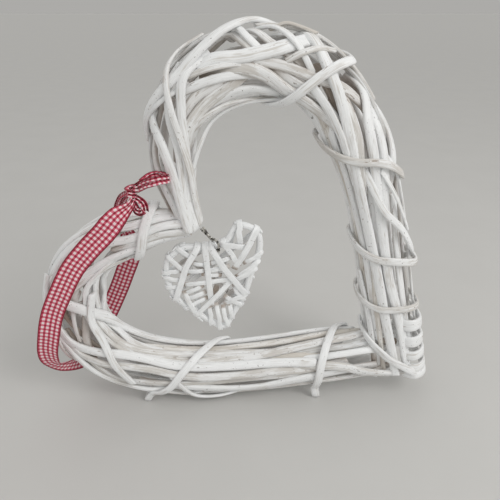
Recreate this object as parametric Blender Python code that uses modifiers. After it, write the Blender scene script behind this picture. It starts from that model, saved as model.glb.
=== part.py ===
"""A white willow heart that stands on its lower side, with a small woven heart hanging in its notch.

Each half of the ring is a loose bundle of round willow rods. A rod is described by where it runs along
its half (0 at the tip, 1 at the notch) and by its angle round the bundle (0 outside, 90 front, 180 inside,
270 back). Where rods cross, they are eased apart until each one clears its neighbours.
"""
from math import cos, pi, radians, sin

import bmesh
import bpy
import numpy as np
from mathutils import Matrix, Vector

# ---------------------------------------------------------------- driving dimensions, metres and radians
HEART_WIDEST = 0.125                # from the heart's axis to the middle of the bundle
WIDEST_ABOVE_TIP = 0.185            # how far along the axis that is
NOTCH_ABOVE_TIP = 0.193             # where the two bundles meet again
TIP_HALF_ANGLE = radians(42)
NOTCH_HALF_ANGLE = radians(37)
SIDE_HANDLES = (0.094, 0.062)       # how strongly the side leaves the tip and reaches the widest place
LOBE_HANDLES = (0.032, 0.111)       # the same for the lobe and the notch
AXIS_TURN = radians(54.4)           # the axis leans this far from upright, so one side lies below
TIP_PLACE = (0.1170, 0.0373)        # x and z of the centre line's tip, before the heart is centred
CENTRED_BY = (0.0034, 0.0, 0.0)     # moves the middle of the heart's outline over the origin

BUNDLE_STATIONS = (0.0, 0.35, 0.68, 0.88, 1.0)
BUNDLE_ACROSS = (0.0215, 0.0205, 0.0236, 0.0185, 0.0100)    # half width in the heart's plane
BUNDLE_DEPTH = (0.0215, 0.0205, 0.0185, 0.0170, 0.0150)     # half depth, front to back
BUNDLE_SQUARENESS = 0.8             # 1 is an ellipse, less is squarer

LAYER = 0.0048                      # from one layer of rods to the next one in
CLEARANCE = 0.00040                 # kept between neighbouring rods
ROD_STEP = 0.019                    # between the points of a rod
WRAP_POINTS = 16                    # round one binding strand
WRAP_START = 15.0                   # angle of its first point, in degrees
WRAP_LAYER = -0.6                   # the strands lie over the rods
FOOT_ANGLES = (40, 18, -40, -70)    # a foot starts, is full between the middle two, and ends, in degrees
EASING_ROUNDS = 420
SEARCH_EVERY = 20                   # rounds between looking for neighbours
SEARCH_REACH = 2.1                  # in rod steps
EAGERNESS = 1.2                     # over 1 moves crossing rods a little too far, so they settle sooner
LEAST_WEIGHT = 0.6
CALM_AFTER = 0.75                   # share of the rounds in which bends are still spread
SPREADING = 0.5                     # how strongly a bend is shared with the points beside it
HOMING = 0.02                       # how strongly rods are drawn back to their routes
BULGE_EASE = 0.3
BULGE_LIMIT = 0.0015                # rods rise no further than this out of the bundle as they are eased
PRESSED_WITHIN = 0.0006             # a binding this near the ground lies on it
FOOT_CUT = 0.0006                   # the lowest strands are worn flat by this much where they stand

WILLOW = (0.80, 0.79, 0.76)
SILVER = (0.62, 0.62, 0.60, 1.0)
GINGHAM = (0.62, 0.10, 0.14, 1.0)

CORNER_TURNS = 5                    # the thin strand wound round the outer rods at the tip
CORNER_THICK = 0.0032
CORNER_SPAN = (0.095, -0.055)       # along the upper half
CORNER_IN = 0.0130                  # from the bundle's middle to the winding's own middle
CORNER_REACH = (0.0100, 0.0150)     # half size of a turn, across and in depth

PENDANT_TIP = (-0.0194, -0.0040, 0.0630)
PENDANT_RIM = 0.0024                # radius of the little heart's rim
PENDANT_OUTLINE = ((1.5, 2), (-11, 9), (-20.5, 17), (-32, 27), (-38, 42), (-38, 57), (-33, 64), (-25.5, 69),
                   (-13, 69), (-2.5, 70), (4.5, 73), (13, 85), (24.5, 82), (28.5, 74), (27.5, 62), (22.5, 47),
                   (18, 32), (9, 14))   # millimetres from its tip
PENDANT_STRIP = 0.0018              # radius of the strips laid over both faces
PENDANT_FACE = 0.0028               # from the rim's middle plane to the innermost strips
PENDANT_LAYERS = 0.0010             # how far the strips rise over each other
PENDANT_FRONT = (((-16, 70), (-30.5, 29)), ((-10, 70), (-7, 11)), ((-6.5, 69), (19, 31)),
                 ((10, 45), (-19.5, 16)), ((-37, 39), (10, 44)), ((-38, 52), (8, 54)),
                 ((14, 86), (12, 46)), ((26.5, 82), (8, 50)), ((2.5, 72), (27.5, 68)),
                 ((28.5, 60), (10, 44)), ((18, 33), (-0.5, 20)))
PENDANT_BACK = (((-40, 48), (-9, 70)), ((-34, 30), (24.5, 78)), ((14, 22), (-29.5, 66)),
                ((-13, 11), (22.5, 44)))

WIRE = 0.0006                       # radius
WIRE_ROUTE = ((-31, -16, 151), (-28, -15, 147), (-25, -13, 143), (-22, -11, 139.5), (-20.4, -9.2, 135),
              (-20.4, -8, 130.5), (-20.4, -4, 128.6), (-20.4, 0, 130.5), (-20.4, 0.9, 134.5),
              (-20.4, -1.2, 138.4), (-22.5, -5, 140.5), (-24.5, -9.5, 143), (-27.5, -12.5, 147),
              (-30, -13.2, 151))    # millimetres

RIBBON_WIDE = 0.0150
RIBBON_THICK = 0.0010
# how far along the long loop, and the way its width points there
LONG_LOOP_FACES = ((0.0, 0.88, 0.0, -0.47), (0.36, 0.90, 0.0, -0.42), (0.42, 0.70, 0.60, 0.10),
                   (0.47, 0.10, 0.90, 0.40), (0.52, 0.20, 0.90, 0.20), (0.61, 0.88, 0.0, -0.47),
                   (1.0, 0.88, 0.0, -0.47))
SHORT_LOOP_FACES = ((0.0, 0.1, 0.0, 1.0), (1.0, 0.1, 0.0, 1.0))
RIBBON_TAIL_FACES = ((0.0, 0.7, 0.0, 0.7), (1.0, 0.7, 0.0, 0.7))
LONG_LOOP = ((-79, -29.5, 167), (-92, -32, 156), (-103, -32, 145), (-115, -32, 131), (-125, -32, 114),
             (-134, -31, 96), (-140, -29, 76), (-143, -25, 58), (-141, -16, 42), (-135, -6, 34),
             (-131, 6, 27), (-129, 18, 28), (-121, 29, 44), (-110, 32, 66), (-100, 32, 92), (-91, 31, 120),
             (-84, 27, 148),
             (-79, 16, 166), (-76, 2, 173), (-73, -13, 173))
SHORT_LOOP = ((-66, -20, 187), (-60, -24.5, 190), (-54, -25.5, 191), (-47, -25.5, 191))
RIBBON_TAIL = ((-66, -24, 175), (-62, -26.5, 172), (-57, -28, 168))
RIBBON_KNOT = (-0.0725, -0.0190, 0.1800)
RIBBON_KNOT_SIZE = (0.0060, 0.0055, 0.0070)     # half sizes

UPPER = 1
LOWER = -1

# ---------------------------------------------------------------- the rods
# name: half, thickness at both ends in millimetres, layer, and the route as (along, angle) or
# (along, angle, layer) where it dives or rises on its own
RODS = {
    "upper_front_main": (UPPER, 5.4, 6.2, 0, ((-0.03, 100), (0.03, 100), (0.1, 106), (0.18, 112),
        (0.26, 119), (0.32, 121), (0.38, 118), (0.42, 111), (0.47, 98), (0.51, 88), (0.545, 76),
        (0.572, 59), (0.588, 34), (0.6, 0), (0.61, -40))),
    "upper_front_second": (UPPER, 6.2, 5.4, 0, ((-0.02, 75), (0.06, 79), (0.14, 87), (0.2, 92),
        (0.3, 92), (0.38, 88), (0.43, 77), (0.46, 67), (0.48, 55), (0.495, 33), (0.51, 7),
        (0.53, -25))),
    "upper_front_third": (UPPER, 5.2, 5.6, 0.2, ((0.24, 93, 1), (0.3, 91, 0.6), (0.335, 86),
        (0.36, 79), (0.38, 70), (0.4, 61), (0.42, 52), (0.44, 44), (0.465, 34), (0.485, 12),
        (0.5, -8), (0.53, -45))),
    "upper_front_slant": (UPPER, 4.4, 3.4, -0.4, ((0.42, 112, 0.8), (0.36, 96, 0.3), (0.32, 88),
        (0.3, 78), (0.285, 66), (0.26, 54), (0.235, 36), (0.21, 5), (0.18, -40))),
    "upper_outer_back": (UPPER, 5.0, 5.0, 0.1, ((-0.01, -20), (0.1, -18), (0.2, -20), (0.3, -12),
        (0.4, 2), (0.45, 6), (0.5, 2), (0.56, -20), (0.66, -60))),
    "upper_inner": (UPPER, 5.4, 5.4, 0.1, ((0.04, 188), (0.2, 188), (0.35, 186), (0.41, 184),
        (0.45, 179), (0.49, 164), (0.52, 150, 0.5), (0.56, 138, 0.9))),
    "upper_inner_back": (UPPER, 6.0, 5.6, 0.2, ((0.06, 206), (0.25, 208), (0.47, 212), (0.6, 222),
        (0.72, 235))),
    "upper_inner_front": (UPPER, 4.4, 4.4, 0.3, ((0.05, 136, 0.5), (0.14, 138), (0.22, 142),
        (0.26, 147), (0.3, 154), (0.36, 159), (0.41, 154), (0.45, 148), (0.48, 138), (0.52, 122, 0.9))),
    "shoulder_long": (UPPER, 7.4, 5.0, 0, ((0.74, 74, 1), (0.72, 80, 0.5), (0.698, 86),
        (0.672, 91), (0.654, 99), (0.633, 112), (0.6, 126), (0.575, 130), (0.55, 124), (0.523, 118),
        (0.49, 110, 0.3), (0.45, 101, 0.9))),
    "lobe_over": (UPPER, 6.2, 6.8, -0.1, ((0.765, 46, 0.9), (0.737, 55, 0.2), (0.711, 64),
        (0.69, 74), (0.664, 78), (0.637, 67), (0.619, 52), (0.602, 30))),
    "lobe_inner_long": (UPPER, 5.0, 5.2, 0.2, ((0.71, 70, 0.9), (0.67, 81), (0.65, 85),
        (0.629, 87), (0.6, 89), (0.572, 86), (0.55, 73), (0.525, 58), (0.505, 45), (0.485, 22, 0.4),
        (0.46, -10))),
    "lobe_front": (UPPER, 6.8, 6.6, 0.1, ((0.93, 132, 0.9), (0.87, 122, 0.7), (0.82, 113),
        (0.77, 115), (0.745, 114), (0.711, 109), (0.682, 98), (0.655, 84, 1))),
    "lobe_under": (UPPER, 5.4, 5.8, 0.3, ((0.88, 104, 1), (0.83, 96, 0.7), (0.798, 91),
        (0.759, 93), (0.73, 95), (0.7, 91), (0.67, 82, 1))),
    "lobe_cross": (UPPER, 6.2, 5.6, 0, ((0.86, 130, 0.8), (0.792, 123), (0.759, 124), (0.721, 124),
        (0.688, 126), (0.643, 135), (0.61, 158, 0.5), (0.59, 190))),
    "limb_left_long": (UPPER, 5.0, 5.6, 0, ((0.72, 46, 0.9), (0.755, 60), (0.77, 72), (0.786, 83),
        (0.806, 93), (0.841, 109), (0.887, 122), (0.942, 124), (1.007, 118))),
    "lobe_back_over": (UPPER, 4.8, 4.8, 0.2, ((0.72, -40), (0.70, -20), (0.686, 5), (0.676, 48),
        (0.666, 67, 0.7), (0.65, 84, 0.6), (0.627, 97), (0.588, 106), (0.56, 106), (0.54, 105),
        (0.507, 108), (0.46, 115, 0.9))),
    "lobe_top": (UPPER, 5.0, 5.0, -0.4, ((0.63, -42), (0.65, -18), (0.664, -2), (0.684, 17),
        (0.706, 36), (0.727, 46), (0.747, 54), (0.767, 55), (0.788, 47), (0.808, 30), (0.828, 9),
        (0.86, -30))),
    "limb_outer_bright": (UPPER, 5.4, 5.6, -0.1, ((0.8, -24), (0.822, 5), (0.837, 44), (0.855, 68),
        (0.885, 85), (0.928, 91), (0.967, 91), (1.003, 88))),
    "limb_outer": (UPPER, 5.2, 5.2, 0.1, ((0.7, -35), (0.8, -2), (0.86, 10), (0.9, 32),
        (0.925, 47), (0.955, 50), (1.0, 46))),
    "upper_back_one": (UPPER, 6.0, 6.0, 0, ((0.0, 272), (0.2, 262), (0.4, 268), (0.55, 255),
        (0.7, 266), (0.85, 262), (0.98, 268))),
    "upper_back_two": (UPPER, 5.6, 5.6, 0, ((0.02, 236), (0.2, 240), (0.4, 236), (0.6, 247),
        (0.78, 234), (0.96, 228))),
    "upper_back_three": (UPPER, 5.8, 5.4, 0, ((0.02, 302), (0.2, 296), (0.36, 302), (0.5, 292),
        (0.62, 285), (0.8, 292), (0.97, 304))),
    "lower_long_front": (LOWER, 6.6, 5.6, -0.3, ((0.76, 50, 0.8), (0.735, 68), (0.719, 86),
        (0.708, 102), (0.686, 131), (0.65, 163), (0.6, 183), (0.54, 190), (0.45, 200), (0.3, 212),
        (0.14, 216), (0.07, 218, 0.3))),
    "lower_inner_top": (LOWER, 5.2, 5.4, 0.1, ((0.52, 168, 0.8), (0.45, 175), (0.39, 178),
        (0.3, 182), (0.22, 184), (0.12, 190), (0.06, 192, 0.5))),
    "lower_inner_front": (LOWER, 4.8, 4.6, 0.1, ((0.7, 136, 0.8), (0.656, 143), (0.615, 148),
        (0.57, 147), (0.53, 150), (0.46, 160), (0.39, 166), (0.3, 163), (0.25, 160, 0.5),
        (0.19, 158, 0.9))),
    "lower_front_bright": (LOWER, 5.0, 6.2, 0, ((0.52, 116, 0.9), (0.47, 122, 0.3), (0.42, 129),
        (0.39, 138), (0.33, 145), (0.28, 146), (0.228, 154), (0.186, 161), (0.121, 168),
        (0.068, 173), (0.03, 180))),
    "lower_long_over": (LOWER, 5.4, 6.0, -0.1, ((0.75, 18), (0.7, 42), (0.662, 58), (0.645, 65),
        (0.627, 76), (0.611, 89), (0.58, 105), (0.552, 120), (0.5, 131), (0.43, 128), (0.36, 129),
        (0.3, 128), (0.25, 126), (0.19, 118), (0.166, 113))),
    "lower_long_second": (LOWER, 5.0, 5.8, 0, ((0.66, 46, 0.7), (0.63, 60, 0.3), (0.601, 75),
        (0.576, 85), (0.55, 92), (0.49, 105), (0.45, 105), (0.42, 99), (0.37, 102), (0.31, 103),
        (0.24, 107), (0.176, 101, 0.4), (0.1, 104, 1))),
    "lower_middle": (LOWER, 5.0, 5.0, 0, ((0.66, 52, 0.8), (0.615, 70, 0.2), (0.59, 69),
        (0.572, 64), (0.55, 56), (0.52, 62), (0.485, 76), (0.44, 82), (0.38, 85, 0.4), (0.3, 90, 0.4),
        (0.2, 88, 0.5), (0.12, 86, 1))),
    "lower_third": (LOWER, 5.4, 5.6, 0, ((0.5, 46, 0.9), (0.44, 62, 0.4), (0.38, 70), (0.33, 64),
        (0.27, 64), (0.214, 76), (0.178, 80), (0.12, 80, 0.5), (0.04, 78, 1))),
    "lower_broad_white": (LOWER, 5.4, 6.8, -0.2, ((0.24, 108, 0.9), (0.19, 105, 0.4), (0.135, 99),
        (0.096, 89), (0.045, 68), (0.003, 54), (-0.014, 45))),
    "lower_lowest": (LOWER, 5.4, 5.6, 0, ((0.46, 34), (0.34, 40), (0.25, 42), (0.155, 42),
        (0.1, 44), (0.05, 60), (0.0, 72, 0.8))),
    "lower_outer_end": (LOWER, 5.6, 5.4, 0, ((0.74, -2), (0.69, 20), (0.64, 40), (0.597, 48),
        (0.584, 42), (0.565, 37), (0.54, 36), (0.517, 39), (0.483, 50), (0.44, 60, 0.7))),
    "lower_end_over": (LOWER, 4.6, 4.6, -0.2, ((0.75, 130), (0.7, 126, 0.3), (0.674, 122),
        (0.645, 122), (0.617, 120), (0.591, 112), (0.572, 101), (0.552, 91), (0.534, 82),
        (0.515, 73))),
    "lower_end_upright": (LOWER, 5.0, 4.8, 0.3, ((0.59, 66, 0.8), (0.623, 88), (0.647, 96),
        (0.674, 107), (0.7, 117, 0.6), (0.76, 124, 0.4), (0.81, 131, 0.6))),
    "lower_end_edge": (LOWER, 5.0, 5.8, 0.1, ((0.9, 168), (0.824, 154), (0.78, 168), (0.747, 182),
        (0.698, 182), (0.666, 172, 0.6), (0.6, 162, 0.9))),
    "lower_limb_inner": (LOWER, 5.2, 5.4, 0, ((1.0, 152), (0.96, 140), (0.93, 127), (0.89, 128),
        (0.863, 126), (0.833, 114), (0.796, 105), (0.763, 92), (0.73, 70), (0.68, 38))),
    "lower_limb_outer": (LOWER, 5.0, 5.0, 0, ((1.0, 2), (0.95, 10), (0.88, 20), (0.8, 10),
        (0.7, -20))),
    "lower_limb_middle": (LOWER, 5.2, 5.4, 0, ((1.0, 24), (0.963, 38), (0.942, 51), (0.916, 62),
        (0.887, 60), (0.859, 50), (0.8, 36), (0.72, 18), (0.62, -5))),
    "lower_limb_front": (LOWER, 4.8, 5.0, 0.1, ((1.0, 60), (0.961, 72), (0.938, 79), (0.898, 91),
        (0.87, 86), (0.847, 81), (0.82, 76), (0.76, 64, 0.6), (0.68, 56, 1))),
    "lower_foot_front": (LOWER, 6.0, 6.0, 0, ((0.04, 14), (0.15, 8), (0.3, 12), (0.45, 2),
        (0.58, 8))),
    "lower_foot_back": (LOWER, 6.0, 6.0, 0, ((0.04, -24), (0.2, -18), (0.4, -28), (0.6, -20),
        (0.74, -38))),
    "lower_back_one": (LOWER, 6.0, 5.8, 0, ((0.06, 268), (0.22, 262), (0.42, 270), (0.62, 260),
        (0.82, 268), (0.98, 272))),
    "lower_back_two": (LOWER, 5.8, 5.6, 0, ((0.05, 308), (0.22, 302), (0.4, 310), (0.6, 300),
        (0.8, 304), (0.97, 314))),
    "lower_back_three": (LOWER, 5.6, 5.4, 0, ((0.08, 238), (0.24, 240), (0.42, 234), (0.62, 236),
        (0.8, 228), (0.97, 228))),
}

# binding strands, one turn each: half, thickness in millimetres, where the turn runs as (angle, along), and
# how far its foot hangs clear of the rods, in millimetres
WRAPS = {
    "wrap_shoulder": (UPPER, 4.8, ((8, 0.538), (43, 0.554), (84, 0.568), (103, 0.578), (121, 0.588),
        (150, 0.606), (171, 0.635), (205, 0.655), (260, 0.63), (320, 0.56)), 0),
    "wrap_side": (UPPER, 4.6, ((17, 0.355), (55, 0.393), (82, 0.407), (98, 0.418), (123, 0.434),
        (144, 0.448), (179, 0.48), (215, 0.49), (270, 0.44), (330, 0.36)), 0),
    "wrap_side_low": (UPPER, 4.8, ((19, 0.2), (88, 0.226), (121, 0.241), (149, 0.255), (188, 0.275),
        (240, 0.268), (310, 0.21)), 0),
    "wrap_tip": (UPPER, 4.2, ((20, 0.11), (78, 0.123), (120, 0.131), (136, 0.139), (177, 0.148),
        (215, 0.152), (280, 0.13), (340, 0.108)), 0),
    "wrap_corner": (UPPER, 4.8, ((45, -0.048), (68, -0.036), (88, -0.007), (113, 0.031), (156, 0.06),
        (190, 0.076), (250, 0.04), (320, -0.04)), 0),
    "wrap_foot_left": (LOWER, 4.8, ((10, 0.486), (40, 0.477), (66, 0.456), (102, 0.43), (144, 0.403),
        (181, 0.375), (217, 0.33), (270, 0.34), (320, 0.45)), 9.0),
    "wrap_foot_right": (LOWER, 5.0, ((10, 0.17), (42, 0.168), (92, 0.157), (149, 0.137), (194, 0.114),
        (217, 0.09), (250, 0.075), (290, 0.1), (335, 0.155)), 15.5),
    "wrap_limb": (LOWER, 5.6, ((13, 0.942), (65, 0.934), (100, 0.918), (157, 0.892), (200, 0.88),
        (270, 0.912), (342, 0.951)), 0),
}


# ---------------------------------------------------------------- the heart's line and its bundles
def bezier(start, leave, arrive, end, t):
    """Points of one cubic curve."""
    t = t[:, None]
    return (1 - t) ** 3 * start + 3 * (1 - t) ** 2 * t * leave + 3 * (1 - t) * t * t * arrive + t ** 3 * end


def half_line():
    """The middle of one bundle from the tip to the notch, and the length along it."""
    tip = np.array((0.0, 0.0))
    widest = np.array((HEART_WIDEST, WIDEST_ABOVE_TIP))
    notch = np.array((0.0, NOTCH_ABOVE_TIP))
    leave_tip = tip + SIDE_HANDLES[0] * np.array((sin(TIP_HALF_ANGLE), cos(TIP_HALF_ANGLE)))
    reach_side = widest - np.array((0.0, SIDE_HANDLES[1]))
    leave_side = widest + np.array((0.0, LOBE_HANDLES[0]))
    reach_notch = notch + LOBE_HANDLES[1] * np.array((sin(NOTCH_HALF_ANGLE), cos(NOTCH_HALF_ANGLE)))
    t = np.linspace(0.0, 1.0, 400)
    side = bezier(tip, leave_tip, reach_side, widest, t)
    lobe = bezier(widest, leave_side, reach_notch, notch, t)
    line = np.vstack((side, lobe[1:]))
    steps = np.linalg.norm(np.diff(line, axis=0), axis=1)
    return line, np.concatenate(((0.0,), np.cumsum(steps)))


LINE, LENGTHS = half_line()
HALF_LENGTH = LENGTHS[-1]


def eased(along, values):
    """A bundle size along the half, level at every station."""
    place = np.clip(along, 0.0, 1.0)
    index = np.clip(np.searchsorted(BUNDLE_STATIONS, place, side="right") - 1, 0, len(values) - 2)
    stations = np.array(BUNDLE_STATIONS)
    sizes = np.array(values)
    t = (place - stations[index]) / (stations[index + 1] - stations[index])
    t = t * t * (3 - 2 * t)
    return sizes[index] + (sizes[index + 1] - sizes[index]) * t


def on_bundle(half, along, angle, inset):
    """World points that lie `inset` under the bundle's surface; the angle is in degrees."""
    along = np.asarray(along, dtype=float)
    place = np.clip(along, 0.0, 1.0) * HALF_LENGTH
    reach = 0.003
    middle = np.stack([np.interp(place, LENGTHS, LINE[:, k]) for k in (0, 1)], 1)
    ahead = np.stack([np.interp(place + reach, LENGTHS, LINE[:, k]) for k in (0, 1)], 1)
    behind = np.stack([np.interp(place - reach, LENGTHS, LINE[:, k]) for k in (0, 1)], 1)
    heading = ahead - behind
    heading /= np.linalg.norm(heading, axis=1)[:, None]
    middle = middle + heading * (along * HALF_LENGTH - place)[:, None]
    turn = np.radians(angle)
    outward = np.sign(np.cos(turn)) * np.abs(np.cos(turn)) ** BUNDLE_SQUARENESS
    forward = np.sign(np.sin(turn)) * np.abs(np.sin(turn)) ** BUNDLE_SQUARENESS
    across = np.maximum(eased(along, BUNDLE_ACROSS) - inset, 0.001) * outward
    depth = np.maximum(eased(along, BUNDLE_DEPTH) - inset, 0.001) * forward
    sideways = half * (middle[:, 0] + heading[:, 1] * across)
    up = middle[:, 1] - heading[:, 0] * across
    x = TIP_PLACE[0] + sideways * cos(AXIS_TURN) - up * sin(AXIS_TURN)
    z = TIP_PLACE[1] + sideways * sin(AXIS_TURN) + up * cos(AXIS_TURN)
    return np.stack((x, -depth, z), 1)


# ---------------------------------------------------------------- routes
def smooth_through(knots, per_span=14):
    """A smooth curve through the knots: place along, angle and layer."""
    knots = np.array(knots, dtype=float)
    ends = np.vstack((2 * knots[0] - knots[1], knots, 2 * knots[-1] - knots[-2]))
    scale = np.array((HALF_LENGTH, 0.0004, 0.005))
    spans = np.maximum(np.linalg.norm(np.diff(ends, axis=0) * scale, axis=1), 1e-4)
    times = np.concatenate(((0.0,), np.cumsum(spans ** 0.5)))
    slopes = (ends[2:] - ends[:-2]) / (times[2:] - times[:-2])[:, None]
    pieces = []
    for k in range(len(knots) - 1):
        width = times[k + 2] - times[k + 1]
        t = np.linspace(0.0, 1.0, per_span, endpoint=False)[:, None]
        pieces.append((2 * t ** 3 - 3 * t ** 2 + 1) * knots[k] + (t ** 3 - 2 * t ** 2 + t) * width * slopes[k]
                      + (3 * t ** 2 - 2 * t ** 3) * knots[k + 1] + (t ** 3 - t ** 2) * width * slopes[k + 1])
    pieces.append(knots[-1:])
    return np.vstack(pieces)


def round_through(points, closed, per_span=8):
    """A smooth curve through points in space."""
    points = np.array(points, dtype=float)
    count = len(points)
    last = count if closed else count - 1
    curve = []
    for k in range(last):
        a, b, c, d = (points[i % count] if closed else points[min(max(i, 0), count - 1)]
                      for i in (k - 1, k, k + 1, k + 2))
        t = np.linspace(0.0, 1.0, per_span, endpoint=False)[:, None]
        curve.append(0.5 * (2 * b + (c - a) * t + (2 * a - 5 * b + 4 * c - d) * t ** 2
                            + (3 * b - a - 3 * c + d) * t ** 3))
    if not closed:
        curve.append(points[-1:])
    return np.vstack(curve)


def run_along(points):
    """The length covered at each point."""
    return np.concatenate(((0.0,), np.cumsum(np.linalg.norm(np.diff(points, axis=0), axis=1))))


def resampled(points, runs, places):
    """Values of a line at the given lengths along it."""
    return np.stack([np.interp(places, runs, points[:, k]) for k in range(points.shape[1])], 1)


def rod_route(half, start_mm, end_mm, layer, knots):
    """A rod's points, its radius at each of them, and the way out of the bundle there."""
    full = [(knot[0], knot[1], knot[2] if len(knot) > 2 else layer) for knot in knots]
    course = smooth_through(full)
    radius = np.linspace(start_mm, end_mm, len(course)) / 2000
    inset = radius + course[:, 2] * LAYER
    points = on_bundle(half, course[:, 0], course[:, 1], inset)
    outward = on_bundle(half, course[:, 0], course[:, 1], inset - 0.001) - points
    runs = run_along(points)
    count = max(4, round(runs[-1] / ROD_STEP) + 1)
    places = np.linspace(0.0, runs[-1], count)
    outward = resampled(outward, runs, places)
    outward /= np.linalg.norm(outward, axis=1)[:, None]
    return resampled(points, runs, places), np.linspace(start_mm, end_mm, count) / 2000, outward


def wrap_route(half, thick_mm, knots, sag_mm):
    """A binding strand's points once round the bundle; a foot hangs down under the bundle's middle."""
    angle = WRAP_START + np.arange(WRAP_POINTS) * 360.0 / WRAP_POINTS
    turns, places = zip(*knots)
    along = np.interp(angle, turns, places, period=360)
    along = (np.roll(along, 1) + 2 * along + np.roll(along, -1)) / 4
    signed = (angle + 180) % 360 - 180
    front, full_front, full_back, back = FOOT_ANGLES
    foot = np.clip((front - signed) / (front - full_front), 0, 1)
    foot *= np.clip((signed - back) / (full_back - back), 0, 1)
    radius = thick_mm / 2000
    inset = radius + WRAP_LAYER * LAYER - sag_mm / 1000 * foot * foot * (3 - 2 * foot)
    points = on_bundle(half, along, angle, inset)
    outward = on_bundle(half, along, angle, inset - 0.001) - points
    outward /= np.linalg.norm(outward, axis=1)[:, None]
    return points, np.full(WRAP_POINTS, radius), outward


def corner_route():
    """The thin strand wound round the outer rods at the tip."""
    count = CORNER_TURNS * 7 + 1
    turn = np.linspace(0.0, 2 * pi * CORNER_TURNS, count)
    along = np.linspace(CORNER_SPAN[0], CORNER_SPAN[1], count)
    flat = np.zeros(count)
    middle = on_bundle(UPPER, along, flat, eased(along, BUNDLE_ACROSS) - CORNER_IN)
    outward = on_bundle(UPPER, along, flat, 0.0) - middle
    outward /= np.linalg.norm(outward, axis=1)[:, None]
    points = middle + outward * (CORNER_REACH[0] * np.cos(turn))[:, None]
    points[:, 1] -= CORNER_REACH[1] * np.sin(turn)
    return points, np.full(count, CORNER_THICK / 2), outward


def nearest_on_segments(p1, q1, p2, q2):
    """Where two straight pieces come closest, as fractions along each."""
    d1 = q1 - p1
    d2 = q2 - p2
    r = p1 - p2
    a = np.maximum((d1 * d1).sum(1), 1e-12)
    e = np.maximum((d2 * d2).sum(1), 1e-12)
    b = (d1 * d2).sum(1)
    c = (d1 * r).sum(1)
    f = (d2 * r).sum(1)
    free = a * e - b * b
    s = np.where(free > 1e-6 * a * e, np.clip((b * f - c * e) / np.maximum(free, 1e-18), 0, 1), 0.5)
    t = np.clip((b * s + f) / e, 0, 1)
    s = np.clip((b * t - c) / a, 0, 1)
    return s, t


def ease_apart(routes, closed, fixed=()):
    """Push crossing rods off each other, each bend spread smoothly along its rod."""
    names = list(routes)
    starts = np.cumsum([0] + [len(routes[name][0]) for name in names])
    points = np.vstack([routes[name][0] for name in names])
    radii = np.concatenate([routes[name][1] for name in names])
    outward = np.vstack([routes[name][2] for name in names])
    points[:, 2] = np.maximum(points[:, 2], radii - FOOT_CUT)
    home = points.copy()
    owner = np.concatenate([np.full(len(routes[name][0]), k) for k, name in enumerate(names)])
    after = np.arange(len(points)) + 1
    before = np.arange(len(points)) - 1
    for k, name in enumerate(names):
        first = starts[k]
        last = starts[k + 1] - 1
        after[last] = first if name in closed else last
        before[first] = last if name in closed else first
    heads = np.nonzero(after != np.arange(len(points)))[0]
    tails = after[heads]
    loose = np.array([0.0 if names[k] in fixed else 1.0 for k in owner])[:, None]
    for step in range(EASING_ROUNDS):
        if step % SEARCH_EVERY == 0:
            middles = (points[heads] + points[tails]) / 2
            gaps = np.linalg.norm(middles[:, None, :] - middles[None, :, :], axis=2)
            one, two = np.nonzero(np.triu(gaps < SEARCH_REACH * ROD_STEP, 1))
            apart = owner[heads[one]] != owner[heads[two]]
            a1, b1 = heads[one[apart]], tails[one[apart]]
            a2, b2 = heads[two[apart]], tails[two[apart]]
        s, t = nearest_on_segments(points[a1], points[b1], points[a2], points[b2])
        near_one = points[a1] + (points[b1] - points[a1]) * s[:, None]
        near_two = points[a2] + (points[b2] - points[a2]) * t[:, None]
        offset = near_one - near_two
        distance = np.maximum(np.linalg.norm(offset, axis=1), 1e-7)
        wanted = radii[a1] * (1 - s) + radii[b1] * s + radii[a2] * (1 - t) + radii[b2] * t + CLEARANCE
        short = np.maximum(wanted - distance, 0.0)
        hit = short > 0
        push = offset[hit] / distance[hit, None] * short[hit, None] * 0.5
        move = np.zeros_like(points)
        weight = np.zeros(len(points))
        for index, share, way in ((a1, 1 - s, 1), (b1, s, 1), (a2, 1 - t, -1), (b2, t, -1)):
            part = share[hit]
            np.add.at(move, index[hit], push * part[:, None] * way)
            np.add.at(weight, index[hit], part)
        points = points + EAGERNESS * loose * move / np.maximum(weight, LEAST_WEIGHT)[:, None]
        calm = max(0.0, 1.0 - step / (CALM_AFTER * EASING_ROUNDS))
        drift = points - home
        points = points + SPREADING * calm * loose * ((drift[after] + drift[before]) / 2 - drift)
        points = points - HOMING * calm * loose * (points - home)
        rise = ((points - home) * outward).sum(1)
        points = points - BULGE_EASE * loose * outward * np.maximum(rise - BULGE_LIMIT, 0.0)[:, None]
        points[:, 2] = np.maximum(points[:, 2], radii - FOOT_CUT)
    ring = np.isin(owner, [k for k, name in enumerate(names) if name in closed])
    pressed = ring & (points[:, 2] < radii + PRESSED_WITHIN)
    points[pressed, 2] = (radii - FOOT_CUT)[pressed]
    return {name: (points[starts[k]:starts[k + 1]], routes[name][1]) for k, name in enumerate(names)}


# ---------------------------------------------------------------- building
def material(name, colour, roughness, metallic=0.0):
    """One plain finish."""
    made = bpy.data.materials.new(name)
    made.use_nodes = True
    shader = made.node_tree.nodes["Principled BSDF"]
    shader.inputs["Base Color"].default_value = colour
    shader.inputs["Roughness"].default_value = roughness
    shader.inputs["Metallic"].default_value = metallic
    return made


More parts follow.
